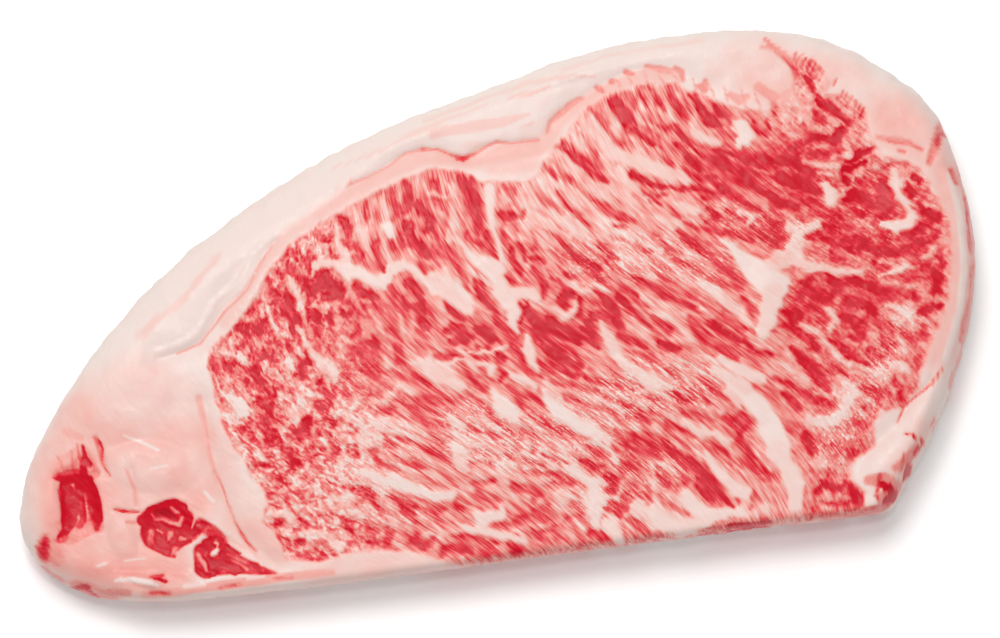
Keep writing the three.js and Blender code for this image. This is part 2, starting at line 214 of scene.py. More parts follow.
# Patches of red muscle in the eye.
LEAN_STROKES = [
    # broad ones, under the others
    (68, (-70.5, -7, 1.3), (-66, -9.5, 1.8), (-61, -11.5, 2.6), (-58, -14, 1.5)),
    (72, (-47.8, -9, 1.7), (-48.8, -12, 1.6)),
    (74, (-57, -15, 1.3), (-59, -20.5, 2.2), (-58.5, -25, 1.8), (-57.5, -28, 1.5)),
    (68, (-44.2, -15, 1), (-43.6, -19, 1.5), (-43.8, -21.5, 1)),
    (70, (-33.5, -7, 2.6), (-32, -11, 3.4), (-30.5, -14, 2)),
    (68, (-24.3, -8, 1.3), (-24, -11.5, 1.1)),
    (64, (-12.5, 15, 1.6), (-9, 14.6, 1.3), (-6.8, 11.5, 1.1), (-5.6, 6, 0.8)),
    (66, (-10.4, 25.7, 1), (-11, 32, 0.8)),
    (76, (-4.8, 32.5, 1), (-3.3, 30, 1.4), (-2.2, 27, 1.3), (-1.2, 22, 1), (-1, 19)),
    (70, (-3.6, 18.5, 0.8), (-2, 16.5), (0.8, 15.5, 0.9), (1.6, 12, 0.6)),
    (78, (84.4, 51, 1.3), (85.2, 44, 0.8), (87.2, 41.4, 1)),
    # middle, above the belt
    (76, (20.8, 38, 0.7), (22.5, 36.6, 0.9), (25, 34)),
    (76, (25, 34, 0.9), (27.5, 31.5, 1), (30, 29.5), (31.8, 28, 0.6)),
    (64, (21.5, 40, 0.3), (24.5, 36.5, 0.6), (28, 33, 0.8), (30.5, 31, 0.6)),
    (50, (27, 41, 0.3), (28.6, 37, 0.5), (31.5, 30, 0.4)),
    (61, (16.4, 34, 0.7), (17.8, 32.4), (19.4, 30.2, 0.5)),
    (56, (18.8, 34.6, 0.3), (20.8, 31, 0.4), (24, 28.4, 0.5), (26.4, 26), (28, 23.8)),
    (70, (28, 23.8, 0.5), (30.6, 21.6, 0.8), (33.6, 19.4, 1), (37, 17.6), (39.4, 15.4, 0.5)),
    (60, (39.4, 15.4, 0.5), (42.4, 12.6, 0.4), (44, 10.8, 0.5)),
    (50, (13, 29.4, 0.2), (15.2, 26, 0.5), (20.4, 21)),
    (68, (19.4, 26.8, 0.4), (21.4, 23.6, 0.7), (24, 20, 0.8)),
    (68, (24, 20, 0.8), (26.4, 17.4, 0.6), (28, 14.6, 0.35), (29.6, 12, 0.4)),
    (46, (12.6, 24, 0.2), (15, 22, 0.35), (17.8, 19.6), (21, 16.4, 0.4)),
    (72, (15.4, 17.4, 0.25), (18.6, 14.8, 0.4), (21, 11.6, 0.9), (23.4, 9)),
    (60, (22, 14.4, 0.3), (28, 9.4, 0.6), (30, 8)),
    (74, (28.6, 11.6, 0.5), (30.4, 9.8, 0.9), (32, 8.6, 0.8)),
    (50, (32, 13.4, 0.6), (34, 12.8, 0.7)),
    (64, (37.6, 11.4, 0.35), (41, 8.6, 0.5)),
    (70, (33, 16.6, 0.35), (35.4, 15.6, 0.3)),
    (40, (32, 24.8, 0.3), (36, 21.6), (38.6, 18.6, 0.4)),
    (54, (5, 28, 0.5), (7, 28.6), (8.6, 27.6, 0.6), (8.4, 25.6, 0.5), (7, 24.4, 0.6)),
    (72, (4.6, 22.8, 0.8), (6.8, 21.2, 1.2), (9.4, 21.6, 0.8), (11, 22.6, 0.5)),
    (60, (5, 19, 0.8), (4.6, 16.4, 0.7), (5.4, 14.8, 0.5)),
    (50, (7.6, 19, 0.8), (8, 17, 0.6), (9.2, 19.4, 0.5)),
    (84, (6.4, 13.6, 0.7), (6, 11.4, 0.8), (7, 9.4, 0.9), (8, 8, 0.8)),
    (78, (8.8, 14.2, 0.8), (10, 12.4, 0.7), (9.6, 10.2, 0.6)),
    (60, (11.6, 17.6, 0.25), (12.4, 14.8, 0.4), (12.6, 12.4, 0.6)),
    (76, (11.4, 10.4, 0.7), (12.8, 9.6, 0.9), (14, 8.8, 0.6)),
    (78, (-1.8, 32, 0.9), (-1.4, 28, 1.2), (-1.2, 24, 1.1), (-0.6, 20, 0.9)),
    (76, (0.6, 18.6, 0.6), (1, 16), (1.8, 13, 0.5), (2.2, 11, 0.3)),
    (84, (34.6, 48, 0.4), (35.6, 46.4, 0.7), (36.4, 45, 0.8), (37.6, 43, 1.1), (39, 41.4, 0.9)),
    (82, (36, 48.4, 0.8), (37.6, 46.6, 1), (38.6, 44.6, 0.9), (39.8, 42.4, 0.6)),
    (56, (39.4, 51, 0.3), (40, 48, 0.5), (41, 45.6, 0.4)),
    (61, (42, 51, 0.25), (42.6, 48.4, 0.6), (43.8, 46.6, 0.4)),
    (52, (41, 47, 0.5), (42.4, 44), (44, 42, 0.6), (46, 40.4)),
    (66, (45.6, 50, 0.3), (46.4, 48, 0.6), (47.4, 46, 0.4)),
    (78, (49.8, 50, 0.3), (50.2, 47.6, 0.6), (51, 45, 0.8), (52.4, 42.6, 1), (53.4, 41, 0.7)),
    (60, (52, 48.8, 0.4), (53.2, 48, 0.5), (54.6, 42, 0.4)),
    (94, (55, 48, 0.4), (57.4, 43.6, 1.2)),
    (94, (57.4, 43.6, 1.2), (58.6, 41.4, 1.4), (60.6, 39.6, 0.9), (62, 38.8, 0.5)),
    (84, (60.6, 44, 0.4), (61.6, 42, 0.7)),
    (64, (29.6, 47, 0.3), (31.4, 44, 0.4), (33.6, 41, 0.5), (35.4, 38, 0.7), (37, 36.6, 0.4)),
    (55, (31.6, 45.4, 0.25), (33.4, 43, 0.35), (34.4, 41.6, 0.3)),
    (85, (38.6, 40.2, 0.4), (40.6, 39.6, 0.7), (42, 38, 0.9), (43.6, 36.8), (44.6, 36.2, 0.5)),
    (66, (40.4, 41.8, 0.5), (42.6, 40.4, 0.6), (44.6, 38.6), (45, 36.4, 0.4)),
    (66, (46, 37.4, 0.4), (46.4, 34.6, 0.5), (47.6, 32, 0.7), (48.8, 30, 0.6), (50, 28.6, 0.3)),
    (74, (46.4, 40.2, 0.4), (48, 39, 0.5), (49.4, 40, 0.4)),
    (90, (50.4, 39.6, 0.6), (52.6, 36.2, 0.9), (53.6, 34.8)),
    (92, (50.4, 35, 0.35), (51.6, 33.4, 0.5), (54.4, 29.6, 1.2), (55.4, 28.2, 0.9)),
    (88, (54.6, 33.6, 0.5), (56.4, 32, 0.6), (58, 31.4), (60, 30, 0.8), (62, 28, 0.9)),
    (85, (59.6, 33, 0.5), (62, 31.4, 0.8)),
    (76, (51.4, 30.4, 0.4), (53.6, 27, 0.6), (56, 26), (58.6, 26.6)),
    (88, (38.4, 29, 0.7), (40, 27.6, 0.8), (45.6, 25, 0.5), (49.6, 24.4)),
    (84, (49.6, 24.4, 0.5), (54, 24, 0.8), (60, 22.4), (62, 22.6, 0.6)),
    (70, (40.6, 26.4, 0.6), (41, 24), (43.6, 22.4, 0.5), (46.4, 22.8, 0.4)),
    (66, (42, 22, 0.4), (44.6, 21.2, 0.5)),
    (54, (45.6, 21.4, 0.3), (47.6, 18, 0.6), (49.4, 16.4, 0.5)),
    (74, (50.4, 15, 0.4), (53, 13.6, 0.6), (56, 12.6, 0.7), (61.4, 12)),
    (80, (56.4, 18.6, 0.7), (57.6, 16.4, 0.9), (58.4, 14.4, 0.8)),
    (72, (55.6, 20.8, 0.6), (58.4, 21.6, 0.7), (60.6, 20.6)),
    (82, (47.8, 14, 0.5), (51.4, 10.6, 0.8), (53.4, 8.6)),
    (60, (42.6, 13, 0.25), (45, 10, 0.4), (48, 8, 0.6)),
    # left end and the upper left hump
    (81, (-62.6, 0.6, 1.2), (-60, 0, 2), (-57.4, 1, 2.2), (-55.4, -1, 1.2)),
    (64, (-60.6, 4.4, 0.9), (-58.6, 6, 1.1), (-57.8, 7.6, 0.7)),
    (79, (-53.4, 9.2, 0.7), (-53, 7, 1.2), (-54, 4.8, 0.8)),
    (73, (-52.4, 13.4, 0.6), (-51, 12, 0.5)),
    (92, (-50.4, 9, 0.6), (-50.2, 6, 1.1), (-50.4, 3, 1.6), (-49, 1.8, 1.4), (-50.2, 0, 1.1)),
    (75, (-49.6, 18, 0.8), (-49.4, 15.6, 1), (-47.4, 13.4, 0.9), (-46, 11.4, 1.1)),
    (64, (-47.6, 19.6, 0.6), (-46.6, 18, 0.9), (-46, 15.6, 0.7)),
    (60, (-43.6, 18.4, 0.5), (-43, 16.4, 0.8), (-43.8, 14.4, 0.6)),
    (77, (-39.6, 21, 0.6), (-38.4, 21.6, 0.8), (-37.6, 22, 0.4)),
    (62, (-39, 19, 0.6), (-38, 17.4, 0.8), (-37.4, 16.6, 0.4)),
    (81, (-35.4, 26.4, 0.6), (-34, 24.6, 1), (-33.2, 22.4, 1.2), (-33.4, 20.4, 1)),
    (71, (-33.6, 19.4, 0.8), (-32, 18.6), (-31, 17), (-31.2, 14.6, 0.6)),
    (67, (-28.4, 29.6, 0.5), (-28.6, 27.4, 0.8), (-28.4, 25.6, 1)),
    (47, (-27, 23, 0.6), (-27, 20.6, 0.5)),
    (75, (-26.8, 19, 0.6), (-27, 16.6, 1), (-26.4, 14, 0.9), (-25.6, 11.8, 0.5)),
    (60, (-26, 30, 0.4), (-24, 31, 0.5), (-22, 31.4)),
    (77, (-21.6, 30, 1), (-21, 27.4, 1.2), (-21.6, 25, 0.9)),
    (56, (-22.6, 18.6, 0.6), (-22.6, 16.6, 0.8)),
    (79, (-18.4, 33.4, 0.6), (-17.6, 31, 1), (-17.4, 28, 1.3), (-19, 26.4, 1)),
    (94, (-18.6, 22.6, 1.1), (-18.4, 20, 1.3), (-17.4, 17.6, 1.5)),
    (94, (-17.4, 17.6, 1.5), (-15.6, 16.4, 1.6), (-14.6, 14.6, 1.3)),
    (87, (-15.6, 28, 0.8), (-14.6, 25.6, 0.9), (-13, 23, 1.2), (-13.6, 20.6, 1)),
    (60, (-20.4, 20.4, 0.6), (-20, 17)),
    (58, (-15.4, 11.6, 0.9), (-13.6, 9.6, 0.6)),
    (94, (-45.4, 9, 1), (-43.8, 7.6, 1.3), (-41.6, 9.6, 1.2), (-40.2, 11.6, 1), (-40, 13.6, 0.4)),
    (100, (-39.4, 10, 1.5), (-37.6, 9, 1.4), (-36.8, 7.2, 1.1), (-38.8, 6.4, 1.3), (-41.4, 6, 1)),
    (92, (-33.6, 8.6, 0.7), (-31.8, 6.6, 1.2), (-29.8, 6.2, 1.3), (-28.4, 5.6, 0.8)),
    (89, (-35.4, 4.4, 0.6), (-34.8, 2.4, 1), (-36.4, 1.6, 0.9)),
    (81, (-44.8, 4, 0.8), (-43.6, 1.6, 1.3), (-43.6, -2, 1.2)),
    (83, (-40.6, 2, 0.9), (-40, 0, 0.7)),
    (79, (-34, 0, 0.9), (-33.6, -2.4, 1), (-35, -4, 0.8)),
    (71, (-31, 3, 1), (-29, 3.4), (-27.6, 1.6, 0.8)),
    (89, (-20.6, 7.6, 0.7), (-18.6, 6.8, 1), (-17.2, 4.6, 1.2), (-16.8, 3, 0.8)),
    (73, (-21, 4, 0.8), (-20.4, 1.6, 1)),
    (85, (-18, 1.6, 1.5), (-17.4, -1, 1.1), (-16.8, -3.4)),
    (67, (-25.6, -3.6, 0.9), (-24, -4.6, 1.2), (-24, -7, 1)),
    (81, (-33, -6.4, 1.2), (-30, -6.6, 1.6)),
    (79, (-59.6, -5.4, 1.3), (-57.6, -6.6), (-55, -6, 0.9)),
    (71, (-63.6, -1.6, 0.7), (-63, -3.6, 0.8)),
    (73, (-71.4, -7.4, 0.7), (-70, -5.4)),
    (69, (-51, -5.6, 1), (-50.6, -3.4, 0.7)),
    # lower left
    (59, (-63.6, -24, 0.8), (-62.4, -25.6, 0.5)),
    (80, (-60.6, -18.6, 1.3), (-58.4, -19.6, 1.8), (-58, -22.6, 1.7)),
    (80, (-58, -22.6, 1.7), (-57.8, -26, 1.3), (-57.4, -28.4, 0.8)),
    (59, (-54.6, -20.6, 0.8), (-55.4, -22.4)),
    (57, (-64, -33.6, 0.6), (-62.4, -34.6)),
    (70, (-60.2, -33.6, 1.1), (-58.2, -32.8, 0.9)),
    (78, (-56, -29, 0.8), (-54, -31, 1.5), (-52.6, -34, 1.4), (-53.4, -36, 0.8)),
    (80, (-49.6, -23, 0.7), (-48, -24.6, 1.1), (-49.6, -27, 1.3)),
    (80, (-49.6, -27, 1.3), (-51.6, -27.4, 0.9), (-47, -27.6)),
    (72, (-45, -20.6, 1.3), (-42.8, -19, 1.4), (-44, -22, 0.9)),
    (65, (-42.4, -25.4, 1.1), (-41.6, -24, 0.7)),
    (63, (-37, -27.4, 0.7), (-38.4, -27.6, 0.4)),
    (66, (-42.8, -29.6, 0.5), (-41.8, -31.6, 1), (-43.4, -31.6, 0.5)),
    (63, (-39, -31.8, 1), (-37.6, -33), (-36.6, -31.4, 0.7)),
    (65, (-49, -31.6, 1.1), (-47.4, -33, 0.8)),
    (57, (-32.4, -33, 0.9), (-31.6, -36, 1.2)),
    (63, (-29.6, -29.6, 0.8), (-28.6, -32, 1.3), (-27.6, -33.6, 0.8)),
    (65, (-30.6, -22.6, 0.9), (-28, -23.6, 1.1), (-26, -23.4, 0.6)),
    (68, (-25.6, -21.4, 0.5), (-22.6, -22.4, 0.7), (-20.6, -23, 0.6)),
    (66, (-22, -25.6, 0.5), (-18.6, -27.4, 0.9), (-15.6, -28.4, 0.7)),
    (57, (-19.4, -23.6, 0.5), (-16, -25, 0.6), (-14, -26, 0.5)),
    (65, (-26.6, -30, 0.5), (-22.6, -32, 0.7), (-19.6, -34, 0.6)),
    (65, (-19.6, -34, 0.6), (-16.4, -36.6, 0.8), (-13.6, -38.8, 0.5)),
    (61, (-27, -34.6, 0.6), (-24.6, -36.6, 0.8), (-21.6, -38.6, 0.6)),
    (57, (-29.6, -37, 0.8), (-27, -38.6, 0.5)),
    (63, (-18.6, -31, 0.6), (-15.6, -33, 0.7)),
    (52, (-23.6, -40.6, 0.4), (-20.6, -42, 0.5), (-18, -43, 0.4)),
    (66, (-39, -42, 0.8), (-36.6, -42.4, 1.2), (-34.6, -44.6, 1.1)),
    (66, (-34.6, -44.6, 1.1), (-32.4, -49, 0.5)),
    (57, (-44.6, -39.6, 0.4), (-41.6, -41)),
    (59, (-44, -47.6, 0.5), (-34, -52.4, 0.6)),
    (59, (-43, -51, 0.7), (-40, -52.6, 0.6)),
    (74, (-30, -44.2, 0.6), (-28.4, -45.6, 1.1), (-26.6, -47.6, 1.5)),
    (74, (-26.6, -47.6, 1.5), (-25.4, -49.6, 1), (-24.4, -47.4, 0.7)),
    (65, (-24.6, -51.6, 0.9), (-23.4, -53.6, 1.1), (-24.6, -55, 0.7)),
    (74, (-31.6, -52, 0.7), (-30.4, -53.6, 0.9), (-32.4, -55.6, 1.3), (-36.6, -55, 0.6)),
    (70, (-25.6, -56, 0.9), (-23.4, -57.6, 1), (-21, -57), (-20.4, -55.4, 0.6)),
    (65, (-56.4, -52.4, 0.7), (-53.6, -53.4, 0.9), (-52, -53.6, 0.5)),
    (63, (-52, -56.6, 0.7), (-50, -56, 1), (-49, -57.4, 0.8), (-51, -58, 0.5)),
    (63, (-60.6, -48, 0.35), (-58.6, -48.6, 0.8), (-57.2, -49), (-56.6, -48, 0.4)),
    (55, (-53.6, -45.6, 0.6), (-52.4, -48.4, 0.7), (-50.6, -49, 0.6)),
    (57, (-49.4, -42.6, 0.5), (-48.8, -44.6)),
    (46, (-56.6, -41, 0.4), (-53.6, -41.6, 0.35), (-48.6, -45.6, 0.4)),
    (66, (-56.4, -37.4, 0.8), (-55, -39)),
    (61, (-52, -36.6, 0.6), (-50.6, -38)),
    (63, (-20.4, -48, 0.4), (-19, -48.4, 0.9), (-17.4, -49.4)),
    (53, (-18.6, -51.6, 0.5), (-16.6, -52.8, 0.6), (-15, -53, 0.4)),
    (65, (-13.6, -48.4, 0.9), (-12.4, -49.4, 0.8)),
    (70, (-19, -60.6, 0.6), (-18.4, -59, 0.8), (-16.4, -58.6, 0.9)),
    (70, (-16.4, -58.6, 0.9), (-15, -60, 0.8), (-13.6, -59.6, 0.6)),
    # the dark belt
    (89, (-11, 2, 0.7), (-10.4, 0, 1), (-8.8, -1.4, 0.9), (-7.6, -2.6, 0.6)),
    (64, (-6.8, 10.5, 0.5), (-6.2, 8, 0.7), (-6, 5.6), (-5.2, 3.4, 0.5)),
    (83, (-3.4, 6, 0.7), (-2.4, 4.8, 1.3), (-1.8, 2.6, 1.4), (-1, 0.6, 1.2), (-0.6, -1, 0.6)),
    (77, (0.2, 0.6, 0.4), (1.4, -4.4, 0.9)),
    (77, (1.4, -4.4, 0.9), (5, -9, 0.7)),
    (102, (-5, -5, 0.5), (-3.6, -6, 1.2), (-1.6, -7, 1.6), (-0.8, -8.4, 1.2)),
    (83, (-12, -5, 0.7), (-10, -4.4, 1), (-8, -5.6, 1.4)),
    (83, (-8, -5.6, 1.4), (-6, -7, 1.2), (-8.6, -8, 1), (-11, -7.6, 0.8)),
    (79, (-15.6, -11, 0.6), (-13.4, -11.6, 0.8), (-8.6, -12.2, 0.4)),
    (69, (-9, -13.6, 0.5), (-4.4, -19, 1.6)),
    (56, (-3.6, -19.6, 1.8), (-6, -21, 1)),
    (62, (-21, -15.6, 0.8), (-19, -16.8, 0.9), (-17.4, -18.4, 0.7)),
    (79, (-4.6, -9.8, 0.5), (-1.4, -10)),
    (75, (-5, -12.4, 0.5), (-3, -13)),
    (83, (0.6, -12.4, 0.8), (2, -13.6, 0.7)),
    (77, (3.4, -10.6, 0.5), (4.8, -12)),
    (69, (0, -14.6, 0.8), (1.6, -17), (0.6, -19, 0.6)),
    (73, (5, -12, 0.5), (6, -14.4, 0.7), (7.6, -17), (10, -19, 0.6)),
    (62, (4.6, 7.6, 0.6), (5.6, 5.6, 0.7)),
    (83, (11.2, 8, 0.7), (12.6, 6.6, 1), (13.6, 4.4), (13.4, 2.4, 0.6), (13.2, 0.4, 0.4)),
    (67, (15.6, 5, 0.5), (16.6, 3, 0.6)),
    (85, (17.6, 4.4, 0.5), (18.6, 2.4, 0.9), (20.4, 0.6)),
    (85, (20.4, 0.6, 0.9), (18.4, 0.2, 1.2), (16.6, 0.4, 0.8), (18, -1.6)),
    (87, (22.4, -0.6, 0.5), (22.4, -2.6, 0.6), (21.6, -4.6, 0.5)),
    (75, (19.6, 5.6, 0.6), (21.4, 4.6)),
    (92, (7.4, -1.4, 0.5), (8.6, -2.6, 1.2), (12.6, -6.6, 2.2)),
    (92, (12.6, -6.6, 2.2), (15, -7.4, 2), (17.4, -8.8, 1.8), (19.6, -10.4, 1.4)),
    (87, (9.4, 0.2, 0.25), (9.2, -2, 0.5)),
    (83, (7.4, -0.6, 0.3), (7, -3.6, 0.6), (6.6, -5.4, 0.4)),
    (83, (10.4, -7.6, 1), (11.4, -10, 1.6), (13, -12.4, 2)),
    (83, (13, -12.4, 2), (15.6, -14), (18.4, -15.4, 1.6), (20.6, -17.4, 1)),
    (77, (12.6, -15.6, 0.9), (14.6, -17.6), (17.4, -18.6, 0.8), (20, -20, 0.5)),
    (102, (14.4, -4.4, 0.6), (15.6, -6, 0.8)),
    (102, (18, -7.4, 0.8), (19.6, -9.6, 1), (20.4, -11.4, 0.8)),
    (103, (21.6, -10, 0.6), (23.6, -11), (25, -13, 0.4)),
    (92, (24.6, -5, 0.7), (23.6, -7.4, 1.2), (24.4, -9.4, 1.1), (22, -8, 0.7)),
    (92, (26.4, 0.6, 0.6), (28.4, -1, 1.3), (30, -3.4, 1.6), (31.4, -8.6, 1.2)),
    (87, (26.6, -4.6, 0.9), (28.4, -5.6, 1)),
    (83, (32, -1.4, 1), (36, -7, 0.8), (38.4, -9.4, 0.7)),
    (77, (31, -10.6, 1.4), (34, -12.6, 1.2), (36.4, -14, 0.7)),
    (79, (33, 1, 0.7), (36, -1.6, 0.9), (39, -4)),
    (83, (22, 9.6, 0.8), (24.4, 8, 1.2), (27, 6.4)),
    (64, (21.6, 6, 0.6), (25, 5, 0.8), (28, 3.6, 0.9), (32, 2.4, 1), (35, 0.6, 0.6)),
    # lower middle
    (52, (31.6, -15, 0.9), (34.4, -17, 1.3), (37.6, -16.4, 1.4), (40, -18, 1.2)),
    (54, (-20, -21, 0.8), (-12, -23)),
    (50, (-22, -25, 0.9), (-14.6, -29, 0.8)),
    (55, (-12, -21.6, 0.6), (-9, -23.6, 0.8), (-6.6, -26)),
    (46, (-8, -29, 1), (-5, -31.6), (-2, -34, 0.8)),
    (59, (-8.6, -21.6, 0.8), (-6, -23.4, 1), (-4, -25.6)),
    (59, (-4, -25.6, 1), (-2.6, -28, 0.9), (0, -30.4), (3, -33.6, 0.7)),
    (62, (2.4, -20.6, 0.7), (4, -23, 0.8), (5.4, -25.4, 1.2), (7.4, -27.6, 1.4)),
    (62, (7.4, -27.6, 1.4), (9.6, -29.6, 1.6), (12, -32, 1.4), (14.4, -33), (16.4, -34, 0.8)),
    (55, (7, -21.6, 0.4), (10.4, -26, 0.5)),
    (55, (13, -20.6, 0.6), (17, -21.6, 0.8), (25, -24.6, 0.6)),
    (59, (22, -20.6, 0.6), (26, -22, 0.8), (30, -23.4, 0.7), (33, -24.6, 0.5)),
    (50, (16, -24.6, 0.7), (20, -26.4, 0.9), (28, -29.6, 0.7)),
    (57, (26, -26, 0.7), (30, -27.6, 0.9), (34, -29.6, 1), (37, -30.6, 0.8)),
    (64, (31, -31, 0.9), (34, -31.6, 1), (36, -33, 0.8)),
    (50, (35, -26, 0.8), (38, -27), (40, -28, 0.6)),
    (54, (32, -22, 0.5), (34.6, -23.6, 0.6)),
    (50, (-9, -30, 0.9), (-5, -31), (-1, -32.6, 0.7)),
    (49, (-8, -35.6, 1), (-5, -36.6), (-2, -38, 0.9)),
    (49, (0, -34.6, 0.9), (3, -36.4, 0.8)),
    (57, (4.4, -31.6, 0.8), (6.6, -33, 1), (8, -35.4), (6.4, -36.4, 0.9)),
    (46, (-8.6, -38.4, 0.8), (-4, -39.4)),
    (47, (0, -37.6, 0.9), (8, -40.4, 0.8)),
    (55, (9, -38, 0.4), (12, -39.4, 0.5), (15, -41.4, 0.4)),
    (52, (-9.4, -43.6, 0.7), (-6, -44, 1.1), (-4, -43, 0.8)),
    (54, (2.6, -40.6, 0.7), (5, -42, 0.9), (7.4, -43, 0.8)),
    (59, (9, -42.4, 0.9), (12, -43.6, 1.4), (15, -45.4, 1.1), (11, -44.8, 1)),
    (49, (8.6, -45.6, 0.7), (11.4, -47.4, 0.8)),
    (54, (-8.6, -46, 1), (-5.4, -47.6, 1.2), (-3, -48.4, 1)),
    (57, (1, -45.6, 1), (4.4, -46, 1.2), (7, -47.6), (5, -49.4, 0.9)),
    (66, (-15.6, -55.4, 0.6), (-10, -57.6, 0.8)),
    (66, (-10, -57.6, 0.8), (-8.4, -59, 1.4), (-7.4, -60.6), (-5.6, -58.6, 0.9)),
    (68, (-15.4, -58.6, 0.7), (-13, -59.4, 1), (-11, -60, 0.8)),
    (73, (-2, -59.2, 1), (-1, -60.6, 1.4), (0.6, -61, 1)),
    (59, (-4.4, -54, 0.9), (-1.6, -54.8), (1.6, -54, 1.1)),
    (59, (1.6, -54, 1.1), (5, -53.6, 1.2), (8.4, -53.6, 1.4), (10.4, -54.6, 0.7)),
    (59, (5, -52, 0.8), (7.6, -51.6, 0.9), (9, -51.4, 0.7)),
    (54, (12, -55.4, 0.5), (15, -54.4, 0.7), (17.6, -53.6, 0.6)),
    (59, (10.4, -56, 0.5), (8, -57, 0.7), (6, -58.6, 1), (4.6, -57, 0.7)),
    (72, (18.6, -58.6, 0.8), (20.4, -58.8, 1.2), (21.6, -60, 1.1), (20.6, -61, 0.9)),
    (50, (14.6, -51, 0.6), (16, -51.6, 1.3), (16.6, -53, 1.1)),
    (61, (20, -37.6, 0.8), (22, -38.6, 1.3), (24, -40, 1.2)),
    (68, (17.6, -40.4, 0.6), (19.6, -41, 0.8), (21.6, -42.4, 1.1), (23.4, -42.6, 0.8)),
    (66, (24, -45, 1.4), (26.6, -46.6, 1.8), (24.6, -48.4, 1.4)),
    (70, (24, -52, 1.4), (26.4, -53.4, 2), (28, -51, 1.8)),
    (59, (30, -48.6, 2), (33, -50.4, 1.8), (32, -46, 1.5), (33.6, -52.6, 0.9)),
    (62, (28, -34.6, 1.1), (30.6, -36.6, 1.2), (33.6, -36, 1.1)),
    (67, (34, -36, 1), (37, -37, 1.2), (39.6, -38.6, 1)),
    (61, (30.6, -40, 1.8), (34.6, -41, 1.6), (38, -42, 1.2)),
    (61, (28.6, -43.6, 1.4), (31.6, -43.4, 1.3)),
    (68, (37, -45, 0.8), (38, -47, 1.5), (38.6, -49, 1)),
    (61, (41, -41, 1.4), (43.6, -43, 1.5), (46, -45, 1.4)),
    (59, (42, -46.4, 0.9), (44, -48.4), (41, -49, 0.7)),
    (47, (36.6, -51, 0.6), (37.6, -53, 0.7), (39.6, -54.6, 0.8),
     (42, -56, 0.7), (43.6, -57, 0.4)),
    (54, (29, -56.4, 0.8), (30.6, -57.4, 1.3), (31.6, -59.6, 1.2), (33, -61, 0.6)),
    # between the middle and the forked seam
    (69, (31, 6.6, 0.6), (34.6, 4, 0.9), (42, -0.6, 1.2)),
    (69, (42, -0.6, 1.2), (45.6, -3, 1.4), (48.6, -5, 1.2), (51, -6.6, 0.8)),
    (61, (42.6, 2.6, 0.8), (45, 1.4, 0.9), (50.6, -3.4)),
    (76, (54, 8, 1.2), (58.6, 3, 1.1), (60.6, 0.6, 1.2), (62, -2)),
    (61, (62.6, -4.6, 0.8), (63.4, -7.4, 0.6), (64.4, -9.6, 0.4)),
    (80, (49.6, 12, 0.9), (51.6, 10.4, 1.2), (53.6, 8.6, 1), (55, 6.6, 0.9)),
    (74, (56, 14.6, 0.9), (58, 13.6, 1), (60, 12, 0.7)),
    (65, (44.6, 8.6, 0.6), (47, 7, 0.8), (50, 5), (52.4, 3, 0.6)),
    (67, (39.6, -7.4, 0.8), (41.4, -9, 1.2), (43.4, -11, 1)),
    (80, (40.6, -13.6, 1), (42.6, -14.6, 1.3), (44.6, -15.4, 0.9)),
    (61, (38.6, -10.6, 0.8), (40.6, -12.4)),
    (65, (48.6, -8, 0.8), (50, -10.6, 1.4), (52.4, -13.6, 1.6)),
    (65, (52.4, -13.6, 1.6), (55, -16.4, 1.4), (57.6, -18.4, 1.2), (59.6, -19.4, 0.8)),
    (73, (53.6, -9.6, 0.9), (58.6, -13.4, 1.2), (60.6, -15.6, 1)),
    (69, (57, -8, 0.6), (59, -10, 0.7), (61.6, -12, 0.8)),
    (78, (61.6, -15.4, 0.8), (63.4, -17.6, 0.9)),
    (80, (64.6, -18.4, 0.6), (67, -19.4, 0.8), (69.4, -21, 0.7), (71, -22.6, 0.4)),
    (61, (42, -20.6, 1), (44, -22.6, 1.2), (46.6, -24.6, 1.3),
     (49, -27, 1.2), (50.6, -29.4, 0.9)),
    (60, (46.6, -19.6, 0.8), (50.6, -24, 1.1), (55, -29, 0.8)),
    (69, (42, -26, 1), (44.6, -27.6, 1.2), (47, -28.6, 0.9)),
    (54, (44, -31.6, 0.9), (48, -32.6, 1), (51.6, -33.6, 0.8)),
    (76, (55, -33.4, 1), (57, -34.6, 1.6), (59, -36.6, 1.5), (58, -38.6, 0.9)),
    (61, (59, -32.6, 1), (60.6, -35), (61, -37.4, 0.8)),
    (76, (57.4, -40, 1), (58.6, -42, 1.2), (60, -44.4, 1.3), (61.4, -47, 1.2), (63, -49, 1)),
    (60, (63, -50, 1.2), (65, -49.6, 0.8), (66.6, -51, 0.5)),
    (65, (49.6, -39.6, 0.7), (51.6, -40.6, 1), (54, -42.6), (55.6, -45, 0.8)),
    (67, (40, -34, 0.8), (43.6, -35.6), (46.6, -37.6, 0.7)),
    (73, (31, -37, 1.2), (35, -38), (42, -41.6, 1.3)),
    (73, (42, -41.6, 1.3), (45.4, -43.6), (47.6, -46, 1.2)),
    (74, (46.6, -49, 1.3), (47.6, -51.6, 1.4), (49, -53.6, 1)),
    (78, (48, -46.6, 1.1), (51, -51.6, 1), (54.6, -56, 0.6)),
    # upper right
    (92, (61, 44.6, 0.4), (62, 43, 0.6), (63.4, 41.4), (64, 40, 0.5)),
    (83, (60.4, 41.6, 0.7), (61.4, 39.6)),
    (87, (69.6, 39.6, 0.4), (70.6, 37.6, 0.7), (71.6, 36.2, 0.9), (72.6, 35, 0.6)),
    (83, (73.6, 38.6, 0.4), (73.4, 36.6, 0.6)),
    (85, (75, 44, 0.2), (75.4, 42, 0.4), (76, 40, 0.45), (76.2, 38, 0.3)),
    (69, (77, 43.6, 0.2), (81, 40)),
    (57, (76, 36, 0.5), (77.6, 34, 0.7), (79, 32)),
    (88, (82.4, 37, 0.25), (84, 34, 0.3)),
